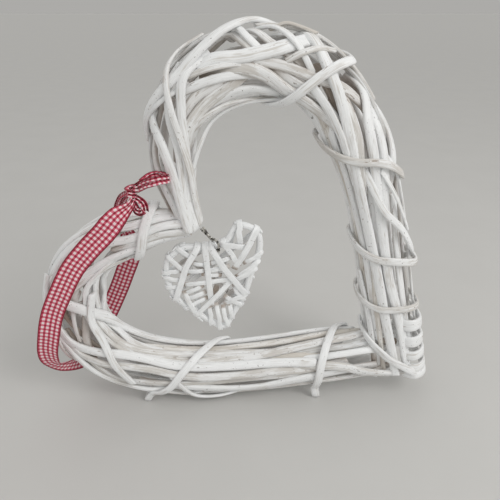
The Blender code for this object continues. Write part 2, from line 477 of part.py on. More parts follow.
def tube(name, points, radii, closed, collection, finish, sides=1):
    """A round rod, strand or wire through the points."""
    curve = bpy.data.curves.new(name, "CURVE")
    curve.dimensions = "3D"
    curve.bevel_depth = float(max(radii))
    curve.bevel_resolution = sides
    curve.use_fill_caps = True
    spline = curve.splines.new("POLY")
    spline.points.add(len(points) - 1)
    for knot, place, radius in zip(spline.points, points, radii):
        knot.co = (*(float(value) for value in place), 1.0)
        knot.radius = float(radius / max(radii))
    spline.use_cyclic_u = closed
    curve.materials.append(finish)
    made = bpy.data.objects.new(name, curve)
    collection.objects.link(made)
    return made


def as_mesh(made, collection):
    """The same piece as a mesh with its caps welded."""
    depsgraph = bpy.context.evaluated_depsgraph_get()
    mesh = bpy.data.meshes.new_from_object(made.evaluated_get(depsgraph))
    work = bmesh.new()
    work.from_mesh(mesh)
    bmesh.ops.remove_doubles(work, verts=work.verts, dist=0.00001)
    bmesh.ops.recalc_face_normals(work, faces=work.faces)
    work.to_mesh(mesh)
    work.free()
    name = made.name
    place = made.matrix_world.copy()
    bpy.data.objects.remove(made)
    mesh.name = name
    solid = bpy.data.objects.new(name, mesh)
    solid.matrix_world = place
    collection.objects.link(solid)
    return solid


def hide_cutter(cutter):
    cutter.hide_render = True
    cutter.display_type = "WIRE"


def box(name, low, high, collection):
    """A plain box between two corners."""
    mesh = bpy.data.meshes.new(name)
    work = bmesh.new()
    size = Vector(high) - Vector(low)
    place = Matrix.Translation((Vector(high) + Vector(low)) / 2) @ Matrix.Diagonal((*size, 1.0))
    bmesh.ops.create_cube(work, size=1.0, matrix=place)
    work.to_mesh(mesh)
    work.free()
    made = bpy.data.objects.new(name, mesh)
    collection.objects.link(made)
    return made


def boolean(made, other, operation):
    change = made.modifiers.new(operation.title(), "BOOLEAN")
    change.operation = operation
    change.solver = "EXACT"
    change.object = other
    hide_cutter(other)


def stand_flat(made, cutters):
    """Wear the lowest strand flat where it stands."""
    low = (-0.2, -0.1, -0.05)
    high = (0.2, 0.1, 0.0)
    boolean(made, box(made.name + "_floor", low, high, cutters), "DIFFERENCE")


def ribbon_strip(name, points_mm, faces, collection, finish, per_span=2):
    """A flat band that follows the points, its width turned as `faces` say."""
    line = round_through(np.array(points_mm) / 1000, False, per_span)
    runs = run_along(line)
    places, *parts = zip(*faces)
    face = np.stack([np.interp(runs / runs[-1], places, part) for part in parts], 1)
    heading = np.vstack((line[1:], line[-1:])) - np.vstack((line[:1], line[:-1]))
    heading /= np.linalg.norm(heading, axis=1)[:, None]
    across = face - heading * (heading * face).sum(1)[:, None]
    across *= RIBBON_WIDE / 2 / np.linalg.norm(across, axis=1)[:, None]
    mesh = bpy.data.meshes.new(name)
    work = bmesh.new()
    edges = [(work.verts.new(p - a), work.verts.new(p + a)) for p, a in zip(line, across)]
    for (a, b), (c, d) in zip(edges, edges[1:]):
        work.faces.new((a, b, d, c))
    work.to_mesh(mesh)
    work.free()
    mesh.materials.append(finish)
    made = bpy.data.objects.new(name, mesh)
    collection.objects.link(made)
    skin = made.modifiers.new("Thickness", "SOLIDIFY")
    skin.thickness = RIBBON_THICK
    skin.offset = 0.0
    return made


def pendant(collection, cutters, finish):
    """The little heart: a bent rim with willow strips over its front and back, joined where they touch."""
    tip = np.array(PENDANT_TIP)
    outline = np.array([(x / 1000, 0.0, z / 1000) for x, z in PENDANT_OUTLINE]) + tip
    rim_line = round_through(outline, True, 1)
    rim = tube("pendant_heart", rim_line, np.full(len(rim_line), PENDANT_RIM), True, collection, finish)
    rim = as_mesh(rim, collection)
    rows = [(route, -PENDANT_FACE) for route in PENDANT_FRONT]
    rows += [(route, PENDANT_FACE) for route in PENDANT_BACK]
    for number, (route, side) in enumerate(rows):
        spread = PENDANT_LAYERS * ((5 * number) % 7) / 7
        ends = (spread, PENDANT_LAYERS - spread)
        depths = np.linspace(ends[0], ends[1], len(route))
        line = np.array([(x / 1000, side + (depth if side > 0 else -depth), z / 1000)
                         for (x, z), depth in zip(route, depths)]) + tip
        radii = np.full(len(line), PENDANT_STRIP * (1 + 0.03 * (number % 5)))
        strip = as_mesh(tube("pendant_strip_%d" % number, line, radii, False, cutters, finish), cutters)
        boolean(rim, strip, "UNION")
    return rim


def knot(collection, finish):
    """The ribbon's knot: a soft lump."""
    mesh = bpy.data.meshes.new("ribbon_knot")
    work = bmesh.new()
    place = Matrix.Translation(RIBBON_KNOT) @ Matrix.Diagonal((*RIBBON_KNOT_SIZE, 1.0))
    bmesh.ops.create_uvsphere(work, u_segments=10, v_segments=7, radius=1.0, matrix=place)
    work.to_mesh(mesh)
    work.free()
    mesh.materials.append(finish)
    made = bpy.data.objects.new("ribbon_knot", mesh)
    collection.objects.link(made)


def main():
    for old in list(bpy.data.objects):
        bpy.data.objects.remove(old)
    heart = bpy.data.collections.new("rattan_heart")
    cutters = bpy.data.collections.new("cutters")
    for collection in (heart, cutters):
        bpy.context.scene.collection.children.link(collection)
    centre = bpy.data.objects.new("heart_centre", None)
    centre.location = CENTRED_BY
    heart.objects.link(centre)

    routes = {name: rod_route(*row) for name, row in RODS.items()}
    routes.update({name: wrap_route(*row) for name, row in WRAPS.items()})
    routes["corner_binding"] = corner_route()
    eased_routes = ease_apart(routes, set(WRAPS))
    for name, (points, radii) in eased_routes.items():
        shade = 0.86 + 0.14 * ((3 * len(name)) % 7) / 6
        colour = tuple(value * shade for value in WILLOW) + (1.0,)
        finish = material(name + "_finish", colour, 0.7)
        made = tube(name, points, radii, name in WRAPS, heart, finish)
        if (points[:, 2] - radii).min() < 0.0:
            stand_flat(as_mesh(made, heart), cutters)

    pendant(heart, cutters, material("pendant_finish", (*WILLOW, 1.0), 0.7))
    wire = round_through(np.array(WIRE_ROUTE) / 1000, False, 3)
    steel = material("wire_finish", SILVER, 0.3, 1.0)
    tube("hanging_wire", wire, np.full(len(wire), WIRE), False, heart, steel)
    for name, route, faces in (("ribbon_long_loop", LONG_LOOP, LONG_LOOP_FACES),
                               ("ribbon_short_loop", SHORT_LOOP, SHORT_LOOP_FACES),
                               ("ribbon_tail", RIBBON_TAIL, RIBBON_TAIL_FACES)):
        ribbon_strip(name, route, faces, heart, material(name + "_finish", GINGHAM, 0.9))
    knot(heart, material("ribbon_knot_finish", GINGHAM, 0.9))
    for made in (*heart.objects, *cutters.objects):
        if made is not centre:
            made.parent = centre


main()
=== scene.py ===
# A white willow heart standing on its side, with a little woven heart wired into its notch and a gingham ribbon
# on its left lobe. Each rod follows its own route round a bundle and is eased off its neighbours.
from math import atan2, cos, pi, radians, sin, sqrt

import bmesh
import bpy
import numpy as np
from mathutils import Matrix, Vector, noise


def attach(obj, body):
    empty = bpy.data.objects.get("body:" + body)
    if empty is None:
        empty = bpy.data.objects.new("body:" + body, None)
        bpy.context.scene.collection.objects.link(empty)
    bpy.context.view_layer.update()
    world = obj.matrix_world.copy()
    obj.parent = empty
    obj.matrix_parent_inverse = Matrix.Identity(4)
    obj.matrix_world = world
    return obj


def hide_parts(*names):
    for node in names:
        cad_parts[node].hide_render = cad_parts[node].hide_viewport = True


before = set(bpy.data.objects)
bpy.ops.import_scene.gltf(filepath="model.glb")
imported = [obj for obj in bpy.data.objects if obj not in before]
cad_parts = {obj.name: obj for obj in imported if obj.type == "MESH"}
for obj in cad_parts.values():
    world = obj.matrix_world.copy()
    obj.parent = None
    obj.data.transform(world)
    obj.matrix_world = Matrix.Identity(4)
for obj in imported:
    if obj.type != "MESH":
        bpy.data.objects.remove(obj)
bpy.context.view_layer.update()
print("frame loaded,", len(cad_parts), "nodes")

# lengths are in metres, unless a note says mm
heart = {
    "widest": 0.125,  # axis to the middle of a bundle
    "widestAboveTip": 0.185,
    "notchAboveTip": 0.193,
    "tipHalfAngle": radians(42),
    "notchHalfAngle": radians(37),
    "sideHandles": (0.094, 0.062),
    "lobeHandles": (0.032, 0.111),
    "axisTurn": radians(54.4),  # one side lies below
    "tipPlace": (0.1170, 0.0373),
    "centredBy": (0.0034, 0.0, 0.0),
    "stations": (0.0, 0.35, 0.68, 0.88, 1.0),
    "across": (0.0215, 0.0205, 0.0236, 0.0185, 0.0100),
    "depth": (0.0215, 0.0205, 0.0185, 0.0170, 0.0150),
    "squareness": 0.8,
    "headingReach": 0.003,
    "outwardReach": 0.001,
    "points": 400,  # along each of its two curves
    "least": 0.001,  # a bundle's radius at its deepest layers
}
upper, lower = 1, -1


def unit(vectors):
    return vectors / np.linalg.norm(vectors, axis=1)[:, None]


# a power under 1 squares a circle drawn from a sine and a cosine
def bulged(value, power):
    return np.sign(value) * np.abs(value) ** power


def runAlong(points):
    return np.concatenate(((0.0,), np.cumsum(np.linalg.norm(np.diff(points, axis=0), axis=1))))


def resampled(points, runs, places):
    return np.stack([np.interp(places, runs, points[:, k]) for k in range(points.shape[1])], 1)


def bezierLine(start, leave, arrive, end, t):
    t = t[:, None]
    return (1 - t) ** 3 * start + 3 * (1 - t) ** 2 * t * leave + 3 * (1 - t) * t * t * arrive + t ** 3 * end


def leaning(angle):
    return np.array((sin(angle), cos(angle)))


def halfLine():
    tip, notch = np.array((0.0, 0.0)), np.array((0.0, heart["notchAboveTip"]))
    widest, upright = np.array((heart["widest"], heart["widestAboveTip"])), np.array((0.0, 1.0))
    (leaveTip, reachSide), (leaveSide, reachNotch) = heart["sideHandles"], heart["lobeHandles"]
    t = np.linspace(0.0, 1.0, heart["points"])
    line = np.vstack((bezierLine(tip, tip + leaveTip * leaning(heart["tipHalfAngle"]),
                                 widest - reachSide * upright, widest, t),
                      bezierLine(widest, widest + leaveSide * upright,
                                 notch + reachNotch * leaning(heart["notchHalfAngle"]), notch, t)[1:]))
    return line, runAlong(line)


halfMiddle, halfRuns = halfLine()
halfLength = halfRuns[-1]


def levelled(along, values):
    place = np.clip(along, 0.0, 1.0)
    index = np.clip(np.searchsorted(heart["stations"], place, side="right") - 1, 0, len(values) - 2)
    stations, sizes = np.array(heart["stations"]), np.array(values)
    t = (place - stations[index]) / (stations[index + 1] - stations[index])
    t = t * t * (3 - 2 * t)
    return sizes[index] + (sizes[index + 1] - sizes[index]) * t


# along runs 0 at the tip to 1 at the notch; the angle is 0 outside, 90 front, 180 inside, 270 back
def onBundle(half, along, angle, inset):
    along = np.asarray(along, dtype=float)
    place = np.clip(along, 0.0, 1.0) * halfLength
    middle = resampled(halfMiddle, halfRuns, place)
    heading = unit(resampled(halfMiddle, halfRuns, place + heart["headingReach"])
                   - resampled(halfMiddle, halfRuns, place - heart["headingReach"]))
    middle = middle + heading * (along * halfLength - place)[:, None]
    across, depth = (np.maximum(levelled(along, heart[way]) - inset, heart["least"])
                     * bulged(wave(np.radians(angle)), heart["squareness"])
                     for way, wave in (("across", np.cos), ("depth", np.sin)))
    sideways = half * (middle[:, 0] + heading[:, 1] * across)
    up = middle[:, 1] - heading[:, 0] * across
    x = heart["tipPlace"][0] + sideways * cos(heart["axisTurn"]) - up * sin(heart["axisTurn"])
    z = heart["tipPlace"][1] + sideways * sin(heart["axisTurn"]) + up * cos(heart["axisTurn"])
    return np.stack((x, -depth, z), 1)


# the points, and the way out of the bundle at each, not yet of unit length
def onSurface(half, along, angle, inset):
    points = onBundle(half, along, angle, inset)
    return points, onBundle(half, along, angle, inset - heart["outwardReach"]) - points


# each rod: thickness at its two ends in mm, how many layers in it lies, and its route as (along in thousandths,
# angle) or (along, angle, layer)
upperRods = {
    "upper_front_main": (5.4, 6.2, 0, ((-30, 100), (30, 100), (100, 106), (180, 112), (260, 119), (320, 121),
        (380, 118), (420, 111), (470, 98), (510, 88), (545, 76), (572, 59), (588, 34), (600, 0), (610, -40))),
    "upper_front_second": (6.2, 5.4, 0, ((-20, 75), (60, 79), (140, 87), (200, 92), (300, 92), (380, 88), (430, 77),
        (460, 67), (480, 55), (495, 33), (510, 7), (530, -25))),
    "upper_front_third": (5.2, 5.6, 0.2, ((240, 93, 1), (300, 91, 0.6), (335, 86), (360, 79), (380, 70), (400, 61),
        (420, 52), (440, 44), (465, 34), (485, 12), (500, -8), (530, -45))),
    "upper_front_slant": (4.4, 3.4, -0.4, ((420, 112, 0.8), (360, 96, 0.3), (320, 88), (300, 78), (285, 66),
        (260, 54), (235, 36), (210, 5), (180, -40))),
    "upper_outer_back": (5.0, 5.0, 0.1, ((-10, -20), (100, -18), (200, -20), (300, -12), (400, 2), (450, 6), (500, 2),
        (560, -20), (660, -60))),
    "upper_inner": (5.4, 5.4, 0.1, ((40, 188), (200, 188), (350, 186), (410, 184), (450, 179), (490, 164),
        (520, 150, 0.5), (560, 138, 0.9))),
    "upper_inner_back": (6.0, 5.6, 0.2, ((60, 206), (250, 208), (470, 212), (600, 222), (720, 235))),
    "upper_inner_front": (4.4, 4.4, 0.3, ((50, 136, 0.5), (140, 138), (220, 142), (260, 147), (300, 154), (360, 159),
        (410, 154), (450, 148), (480, 138), (520, 122, 0.9))),
    "shoulder_long": (7.4, 5.0, 0, ((740, 74, 1), (720, 80, 0.5), (698, 86), (672, 91), (654, 99), (633, 112),
        (600, 126), (575, 130), (550, 124), (523, 118), (490, 110, 0.3), (450, 101, 0.9))),
    "lobe_over": (6.2, 6.8, -0.1, ((765, 46, 0.9), (737, 55, 0.2), (711, 64), (690, 74), (664, 78), (637, 67),
        (619, 52), (602, 30))),
    "lobe_inner_long": (5.0, 5.2, 0.2, ((710, 70, 0.9), (670, 81), (650, 85), (629, 87), (600, 89), (572, 86),
        (550, 73), (525, 58), (505, 45), (485, 22, 0.4), (460, -10))),
    "lobe_front": (6.8, 6.6, 0.1, ((930, 132, 0.9), (870, 122, 0.7), (820, 113), (770, 115), (745, 114), (711, 109),
        (682, 98), (655, 84, 1))),
    "lobe_under": (5.4, 5.8, 0.3, ((880, 104, 1), (830, 96, 0.7), (798, 91), (759, 93), (730, 95), (700, 91),
        (670, 82, 1))),
    "lobe_cross": (6.2, 5.6, 0, ((860, 130, 0.8), (792, 123), (759, 124), (721, 124), (688, 126), (643, 135),
        (610, 158, 0.5), (590, 190))),
    "limb_left_long": (5.0, 5.6, 0, ((720, 46, 0.9), (755, 60), (770, 72), (786, 83), (806, 93), (841, 109),
        (887, 122), (942, 124), (1007, 118))),
    "lobe_back_over": (4.8, 4.8, 0.2, ((720, -40), (700, -20), (686, 5), (676, 48), (666, 67, 0.7), (650, 84, 0.6),
        (627, 97), (588, 106), (560, 106), (540, 105), (507, 108), (460, 115, 0.9))),
    "lobe_top": (5.0, 5.0, -0.4, ((630, -42), (650, -18), (664, -2), (684, 17), (706, 36), (727, 46), (747, 54),
        (767, 55), (788, 47), (808, 30), (828, 9), (860, -30))),
    "limb_outer_bright": (5.4, 5.6, -0.1, ((800, -24), (822, 5), (837, 44), (855, 68), (885, 85), (928, 91),
        (967, 91), (1003, 88))),
    "limb_outer": (5.2, 5.2, 0.1, ((700, -35), (800, -2), (860, 10), (900, 32), (925, 47), (955, 50), (1000, 46))),
    "upper_back_one": (6.0, 6.0, 0, ((0, 272), (200, 262), (400, 268), (550, 255), (700, 266), (850, 262),
        (980, 268))),
    "upper_back_two": (5.6, 5.6, 0, ((20, 236), (200, 240), (400, 236), (600, 247), (780, 234), (960, 228))),
    "upper_back_three": (5.8, 5.4, 0, ((20, 302), (200, 296), (360, 302), (500, 292), (620, 285), (800, 292),
        (970, 304))),
}
lowerRods = {
    "lower_long_front": (6.6, 5.6, -0.3, ((760, 50, 0.8), (735, 68), (719, 86), (708, 102), (686, 131), (650, 163),
        (600, 183), (540, 190), (450, 200), (300, 212), (140, 216), (70, 218, 0.3))),
    "lower_inner_top": (5.2, 5.4, 0.1, ((520, 168, 0.8), (450, 175), (390, 178), (300, 182), (220, 184), (120, 190),
        (60, 192, 0.5))),
    "lower_inner_front": (4.8, 4.6, 0.1, ((700, 136, 0.8), (656, 143), (615, 148), (570, 147), (530, 150), (460, 160),
        (390, 166), (300, 163), (250, 160, 0.5), (190, 158, 0.9))),
    "lower_front_bright": (5.0, 6.2, 0, ((520, 116, 0.9), (470, 122, 0.3), (420, 129), (390, 138), (330, 145),
        (280, 146), (228, 154), (186, 161), (121, 168), (68, 173), (30, 180))),
    "lower_long_over": (5.4, 6.0, -0.1, ((750, 18), (700, 42), (662, 58), (645, 65), (627, 76), (611, 89), (580, 105),
        (552, 120), (500, 131), (430, 128), (360, 129), (300, 128), (250, 126), (190, 118), (166, 113))),
    "lower_long_second": (5.0, 5.8, 0, ((660, 46, 0.7), (630, 60, 0.3), (601, 75), (576, 85), (550, 92), (490, 105),
        (450, 105), (420, 99), (370, 102), (310, 103), (240, 107), (176, 101, 0.4), (100, 104, 1))),
    "lower_middle": (5.0, 5.0, 0, ((660, 52, 0.8), (615, 70, 0.2), (590, 69), (572, 64), (550, 56), (520, 62),
        (485, 76), (440, 82), (380, 85, 0.4), (300, 90, 0.4), (200, 88, 0.5), (120, 86, 1))),
    "lower_third": (5.4, 5.6, 0, ((500, 46, 0.9), (440, 62, 0.4), (380, 70), (330, 64), (270, 64), (214, 76),
        (178, 80), (120, 80, 0.5), (40, 78, 1))),
    "lower_broad_white": (5.4, 6.8, -0.2, ((240, 108, 0.9), (190, 105, 0.4), (135, 99), (96, 89), (45, 68), (3, 54),
        (-14, 45))),
    "lower_lowest": (5.4, 5.6, 0, ((460, 34), (340, 40), (250, 42), (155, 42), (100, 44), (50, 60), (0, 72, 0.8))),
    "lower_outer_end": (5.6, 5.4, 0, ((740, -2), (690, 20), (640, 40), (597, 48), (584, 42), (565, 37), (540, 36),
        (517, 39), (483, 50), (440, 60, 0.7))),
    "lower_end_over": (4.6, 4.6, -0.2, ((750, 130), (700, 126, 0.3), (674, 122), (645, 122), (617, 120), (591, 112),
        (572, 101), (552, 91), (534, 82), (515, 73))),
    "lower_end_upright": (5.0, 4.8, 0.3, ((590, 66, 0.8), (623, 88), (647, 96), (674, 107), (700, 117, 0.6),
        (760, 124, 0.4), (810, 131, 0.6))),
    "lower_end_edge": (5.0, 5.8, 0.1, ((900, 168), (824, 154), (780, 168), (747, 182), (698, 182), (666, 172, 0.6),
        (600, 162, 0.9))),
    "lower_limb_inner": (5.2, 5.4, 0, ((1000, 152), (960, 140), (930, 127), (890, 128), (863, 126), (833, 114),
        (796, 105), (763, 92), (730, 70), (680, 38))),
    "lower_limb_outer": (5.0, 5.0, 0, ((1000, 2), (950, 10), (880, 20), (800, 10), (700, -20))),
    "lower_limb_middle": (5.2, 5.4, 0, ((1000, 24), (963, 38), (942, 51), (916, 62), (887, 60), (859, 50), (800, 36),
        (720, 18), (620, -5))),
    "lower_limb_front": (4.8, 5.0, 0.1, ((1000, 60), (961, 72), (938, 79), (898, 91), (870, 86), (847, 81), (820, 76),
        (760, 64, 0.6), (680, 56, 1))),
    "lower_foot_front": (6.0, 6.0, 0, ((40, 14), (150, 8), (300, 12), (450, 2), (580, 8))),
    "lower_foot_back": (6.0, 6.0, 0, ((40, -24), (200, -18), (400, -28), (600, -20), (740, -38))),
    "lower_back_one": (6.0, 5.8, 0, ((60, 268), (220, 262), (420, 270), (620, 260), (820, 268), (980, 272))),
    "lower_back_two": (5.8, 5.6, 0, ((50, 308), (220, 302), (400, 310), (600, 300), (800, 304), (970, 314))),
    "lower_back_three": (5.6, 5.4, 0, ((80, 238), (240, 240), (420, 234), (620, 236), (800, 228), (970, 228))),
}
# thinner ones between and over them
upperTwigs = {
    "side_bright": (4.6, 5.2, 0, ((360, 110, 0.9), (390, 103, 0.2), (418, 96), (438, 91), (458, 87), (481, 82),
        (507, 77), (529, 68), (550, 58, 0.7))),
    "side_outer": (5.0, 5.0, 0, ((350, 62, 0.9), (380, 46, 0.2), (405, 30), (422, 20), (446, 14), (466, 10), (497, 0),
        (520, -20))),
    "side_deep": (4.2, 4.2, 0.8, ((100, 93), (180, 98), (245, 104), (330, 105), (370, 101), (410, 95),
        (480, 82, 1.2))),
    "side_thin": (2.6, 2.2, 0, ((390, 74, 0.5), (371, 68), (348, 62), (322, 53), (300, 45), (270, 32))),
    "side_brown": (4.6, 4.6, 0.5, ((560, 112, 0.9), (517, 127), (493, 139), (466, 153), (430, 166), (380, 172),
        (300, 172), (200, 166), (100, 164))),
    "side_behind": (4.2, 4.2, 0.8, ((530, 98), (501, 108), (471, 116), (442, 122), (400, 130), (300, 132), (200, 126),
        (80, 120))),
    "side_back_low": (4.6, 4.6, 0.6, ((340, 50), (280, 62), (200, 66), (120, 60), (20, 52))),
    "upper_outer_thin": (3.0, 2.8, 0, ((0, 12), (100, 12), (200, 10), (290, 12), (324, 18), (357, 26), (385, 34),
        (420, 50, 0.6))),
    "upper_inner_white": (4.2, 3.4, -0.1, ((-40, 148), (50, 143), (120, 150), (200, 166))),
    "tip_cream": (3.4, 3.4, 0.3, ((-30, 122), (60, 122), (130, 124), (220, 130, 0.8))),
    "shoulder_wide": (4.4, 4.4, 0.5, ((690, -40), (666, -4), (652, 37), (637, 57), (621, 68), (601, 78), (582, 85),
        (560, 94, 0.8))),
    "shoulder_bright": (4.2, 4.0, 0, ((580, 95, 0.7), (550, 101), (520, 106), (480, 114), (450, 120),
        (380, 136, 0.6))),
    "shoulder_under": (5.0, 5.0, 1.1, ((580, 70), (500, 102), (440, 100), (350, 104))),
    "shoulder_edge": (3.4, 3.4, 0.1, ((665, -30), (641, 0), (629, 30), (617, 47), (600, 66), (580, 84, 0.8))),
    "shoulder_hook": (3.4, 3.0, -0.1, ((620, 84, 0.5), (609, 74), (600, 65), (588, 50), (570, 26))),
    "outer_strip": (4.6, 4.6, 0, ((660, -14), (620, 0), (580, -2), (540, -6), (480, -14))),
    "lobe_bow": (4.6, 4.8, 0.1, ((780, 58, 0.8), (765, 69), (749, 80), (733, 86), (710, 89), (686, 89),
        (660, 92, 0.9))),
    "lobe_bow_thin": (3.2, 3.0, 0.1, ((760, 54, 0.6), (751, 61), (733, 74), (711, 82), (686, 86, 0.4), (660, 90, 1))),
    "top_slant": (3.8, 3.8, 0.1, ((700, -20), (684, 0), (676, 36), (666, 58), (652, 76, 0.7))),
    "top_brown": (3.2, 3.0, -0.3, ((640, -6, 0.6), (625, 0), (611, 3), (592, 8))),
    "lobe_inner": (4.2, 4.2, 0, ((840, 118, 0.8), (800, 129), (770, 141), (739, 150), (704, 157), (668, 172),
        (620, 190))),
    "lobe_inner_edge": (3.4, 3.6, 0, ((900, 148, 0.6), (860, 156), (818, 161), (780, 169), (735, 169), (696, 169),
        (635, 170), (580, 160, 0.4))),
    "limb_thin": (2.8, 4.6, -0.5, ((720, -24), (750, -4), (765, 4), (774, 36), (786, 59), (800, 75), (814, 88),
        (841, 101), (877, 117), (914, 130), (960, 144), (1000, 150))),
    "limb_middle": (4.0, 4.8, 0.1, ((760, -10), (790, 48), (820, 76), (860, 97), (930, 107), (1000, 104))),
    "limb_outer_thin": (2.6, 2.8, -0.2, ((860, -20), (825, 10), (800, 48), (780, 62), (760, 72, 0.5))),
    "limb_back_thin": (4.0, 4.0, 0, ((700, -16), (760, -12), (840, -16), (920, -4), (1000, 10))),
}
lowerTwigs = {
    "lower_short_front": (4.6, 4.4, 0, ((200, 124, 0.8), (131, 123), (92, 124), (55, 124), (20, 122, 0.7))),
    "lower_tip_grey": (4.8, 4.8, 0.3, ((200, 148, 0.8), (129, 146), (90, 143), (50, 146), (0, 140, 0.8))),
    "lower_swoop": (3.0, 3.8, -0.3, ((470, 124, 0.6), (450, 108), (434, 92), (418, 76), (403, 58), (385, 47),
        (350, 44), (305, 46, 0.5))),
    "lower_outer_thin": (4.0, 3.8, 0, ((540, 28), (500, 34), (456, 38), (428, 40), (397, 41), (360, 46, 0.6))),
    "lower_beige": (4.4, 4.4, 0.4, ((400, 150, 0.8), (320, 156), (200, 140), (120, 132, 0.8))),
    "lower_end_inner": (4.4, 4.4, 0.3, ((720, 106), (680, 120), (620, 132), (540, 136), (470, 142), (400, 150, 0.8))),
    "lower_end_thin": (2.8, 2.6, 0.1, ((740, 100, 0.6), (702, 91), (680, 89), (658, 87), (634, 80, 0.4))),
    "lower_end_brown": (3.2, 3.2, 0.6, ((720, 58), (682, 73), (664, 80), (640, 86), (600, 92))),
    "lower_end_white": (3.6, 3.8, -0.1, ((730, 84, 0.6), (696, 67), (666, 55), (641, 38), (623, 35), (607, 46),
        (585, 62, 0.6))),
    "lower_end_upper": (4.4, 4.2, 0.1, ((670, 148, 0.8), (627, 165), (586, 173), (558, 163), (505, 162),
        (440, 168, 0.6))),
    "lower_end_bow": (3.4, 3.4, 0.1, ((850, 128, 0.6), (810, 120), (780, 114), (753, 109), (719, 114, 0.5))),
    "lower_end_lean": (3.8, 3.8, 0.2, ((840, 128, 0.6), (806, 127), (769, 132), (729, 144), (690, 151, 0.6))),
    "lower_end_short": (4.0, 4.0, 0.2, ((800, 98, 0.8), (753, 93), (727, 91), (690, 86, 0.7))),
    "lower_limb_low": (4.8, 4.8, 0.1, ((860, 108, 0.8), (900, 105, 0.3), (928, 101), (959, 100), (1000, 104))),
    "lower_limb_edge": (3.4, 3.4, 0, ((730, 82, 0.4), (757, 97), (786, 111), (822, 130), (840, 147), (873, 160),
        (920, 168), (970, 172), (1000, 172))),
    "lower_back_pale": (4.4, 4.2, 0, ((620, -42), (700, -52), (780, -62), (860, -54), (950, -40))),
    "lower_back_thin": (4.0, 3.8, 0, ((600, -22), (680, -34), (760, -40), (850, -34), (940, -18))),
}
# each binding: half, thickness in mm, its places as (angle, along in thousandths), and how far its foot hangs
# below in mm
wraps = {
    "wrap_shoulder": (upper, 4.8, ((8, 538), (43, 554), (84, 568), (103, 578), (121, 588), (150, 606), (171, 635),
        (205, 655), (260, 630), (320, 560)), 0),
    "wrap_side": (upper, 4.6, ((17, 355), (55, 393), (82, 407), (98, 418), (123, 434), (144, 448), (179, 480),
        (215, 490), (270, 440), (330, 360)), 0),
    "wrap_side_low": (upper, 4.8, ((19, 200), (88, 226), (121, 241), (149, 255), (188, 275), (240, 268),
        (310, 210)), 0),
    "wrap_tip": (upper, 4.2, ((20, 110), (78, 123), (120, 131), (136, 139), (177, 148), (215, 152), (280, 130),
        (340, 108)), 0),
    "wrap_corner": (upper, 4.8, ((45, -48), (68, -36), (88, -7), (113, 31), (156, 60), (190, 76), (250, 40),
        (320, -40)), 0),
    "wrap_foot_left": (lower, 4.8, ((10, 486), (40, 477), (66, 456), (102, 430), (144, 403), (181, 375), (217, 330),
        (270, 340), (320, 450)), 9.0),
    "wrap_foot_right": (lower, 5.0, ((10, 170), (42, 168), (92, 157), (149, 137), (194, 114), (217, 90), (250, 75),
        (290, 100), (335, 155)), 15.5),
    "wrap_limb": (lower, 5.6, ((13, 942), (65, 934), (100, 918), (157, 892), (200, 880), (270, 912), (342, 951)), 0),
}
easing = {
    "layer": 0.0048,  # one layer of rods to the next one in
    "clearance": 0.00040,
    "perKnot": 14,
    "knotScales": (0.0004, 0.005),  # for a degree and for a layer
    "rodStep": 0.019,
    "wrapPoints": 16,
    "wrapStart": 15.0,  # degrees
    "wrapLayer": -0.6,
    "foot": (40, 18, -40, -70),  # a foot is full between the middle angles
    "press": 0.5,  # share of each radius that is kept apart
    "rounds": 420,
    "searchEvery": 20,  # rounds
    "searchReach": 2.1,  # rod steps
    "eagerness": 1.2,
    "leastWeight": 0.6,
    "calmAfter": 0.75,  # share of the rounds
    "spreading": 0.5,
    "homing": 0.02,
    "bulgeLimit": 0.0015,
    "bulgeEase": 0.3,
    "pressedWithin": 0.0006,
    "footCut": 0.0006,
}
cornerBinding = {
    "turns": 5,
    "pointsPerTurn": 7,
    "thick": 0.0032,
    "span": (0.095, -0.055),
    "in": 0.0130,
    "reach": (0.0100, 0.0150),
}


# through knots of (along, angle, layer), each measured in its own scale
def smoothThrough(knots):
    knots = np.array(knots, dtype=float)
    ends = np.vstack((2 * knots[0] - knots[1], knots, 2 * knots[-1] - knots[-2]))
    spans = np.linalg.norm(np.diff(ends, axis=0) * (halfLength, *easing["knotScales"]), axis=1)
    spans = np.maximum(spans, 1e-4)
    times = np.concatenate(((0.0,), np.cumsum(spans ** 0.5)))
    slopes = (ends[2:] - ends[:-2]) / (times[2:] - times[:-2])[:, None]
    t = np.linspace(0.0, 1.0, easing["perKnot"], endpoint=False)[:, None]
    curve = []
    for k in range(len(knots) - 1):
        width = times[k + 2] - times[k + 1]
        curve.append((2 * t ** 3 - 3 * t ** 2 + 1) * knots[k] + (t ** 3 - 2 * t ** 2 + t) * width * slopes[k]
                     + (3 * t ** 2 - 2 * t ** 3) * knots[k + 1] + (t ** 3 - t ** 2) * width * slopes[k + 1])
    return np.vstack(curve + [knots[-1:]])


def roundThrough(points, closed, perSpan):
    points = np.array(points, dtype=float)
    count = len(points)
    t = np.linspace(0.0, 1.0, perSpan, endpoint=False)[:, None]
    curve = []
    for k in range(count if closed else count - 1):
        a, b, c, d = (points[i % count] if closed else points[min(max(i, 0), count - 1)]
                      for i in (k - 1, k, k + 1, k + 2))
        curve.append(0.5 * (2 * b + (c - a) * t + (2 * a - 5 * b + 4 * c - d) * t ** 2
                            + (3 * b - a - 3 * c + d) * t ** 3))
    return np.vstack(curve if closed else curve + [points[-1:]])


# the same line with its points about one step apart
def evened(line, step, least=0):
    runs = runAlong(line)
    return resampled(line, runs, np.linspace(0, runs[-1], max(least, round(runs[-1] / step))))


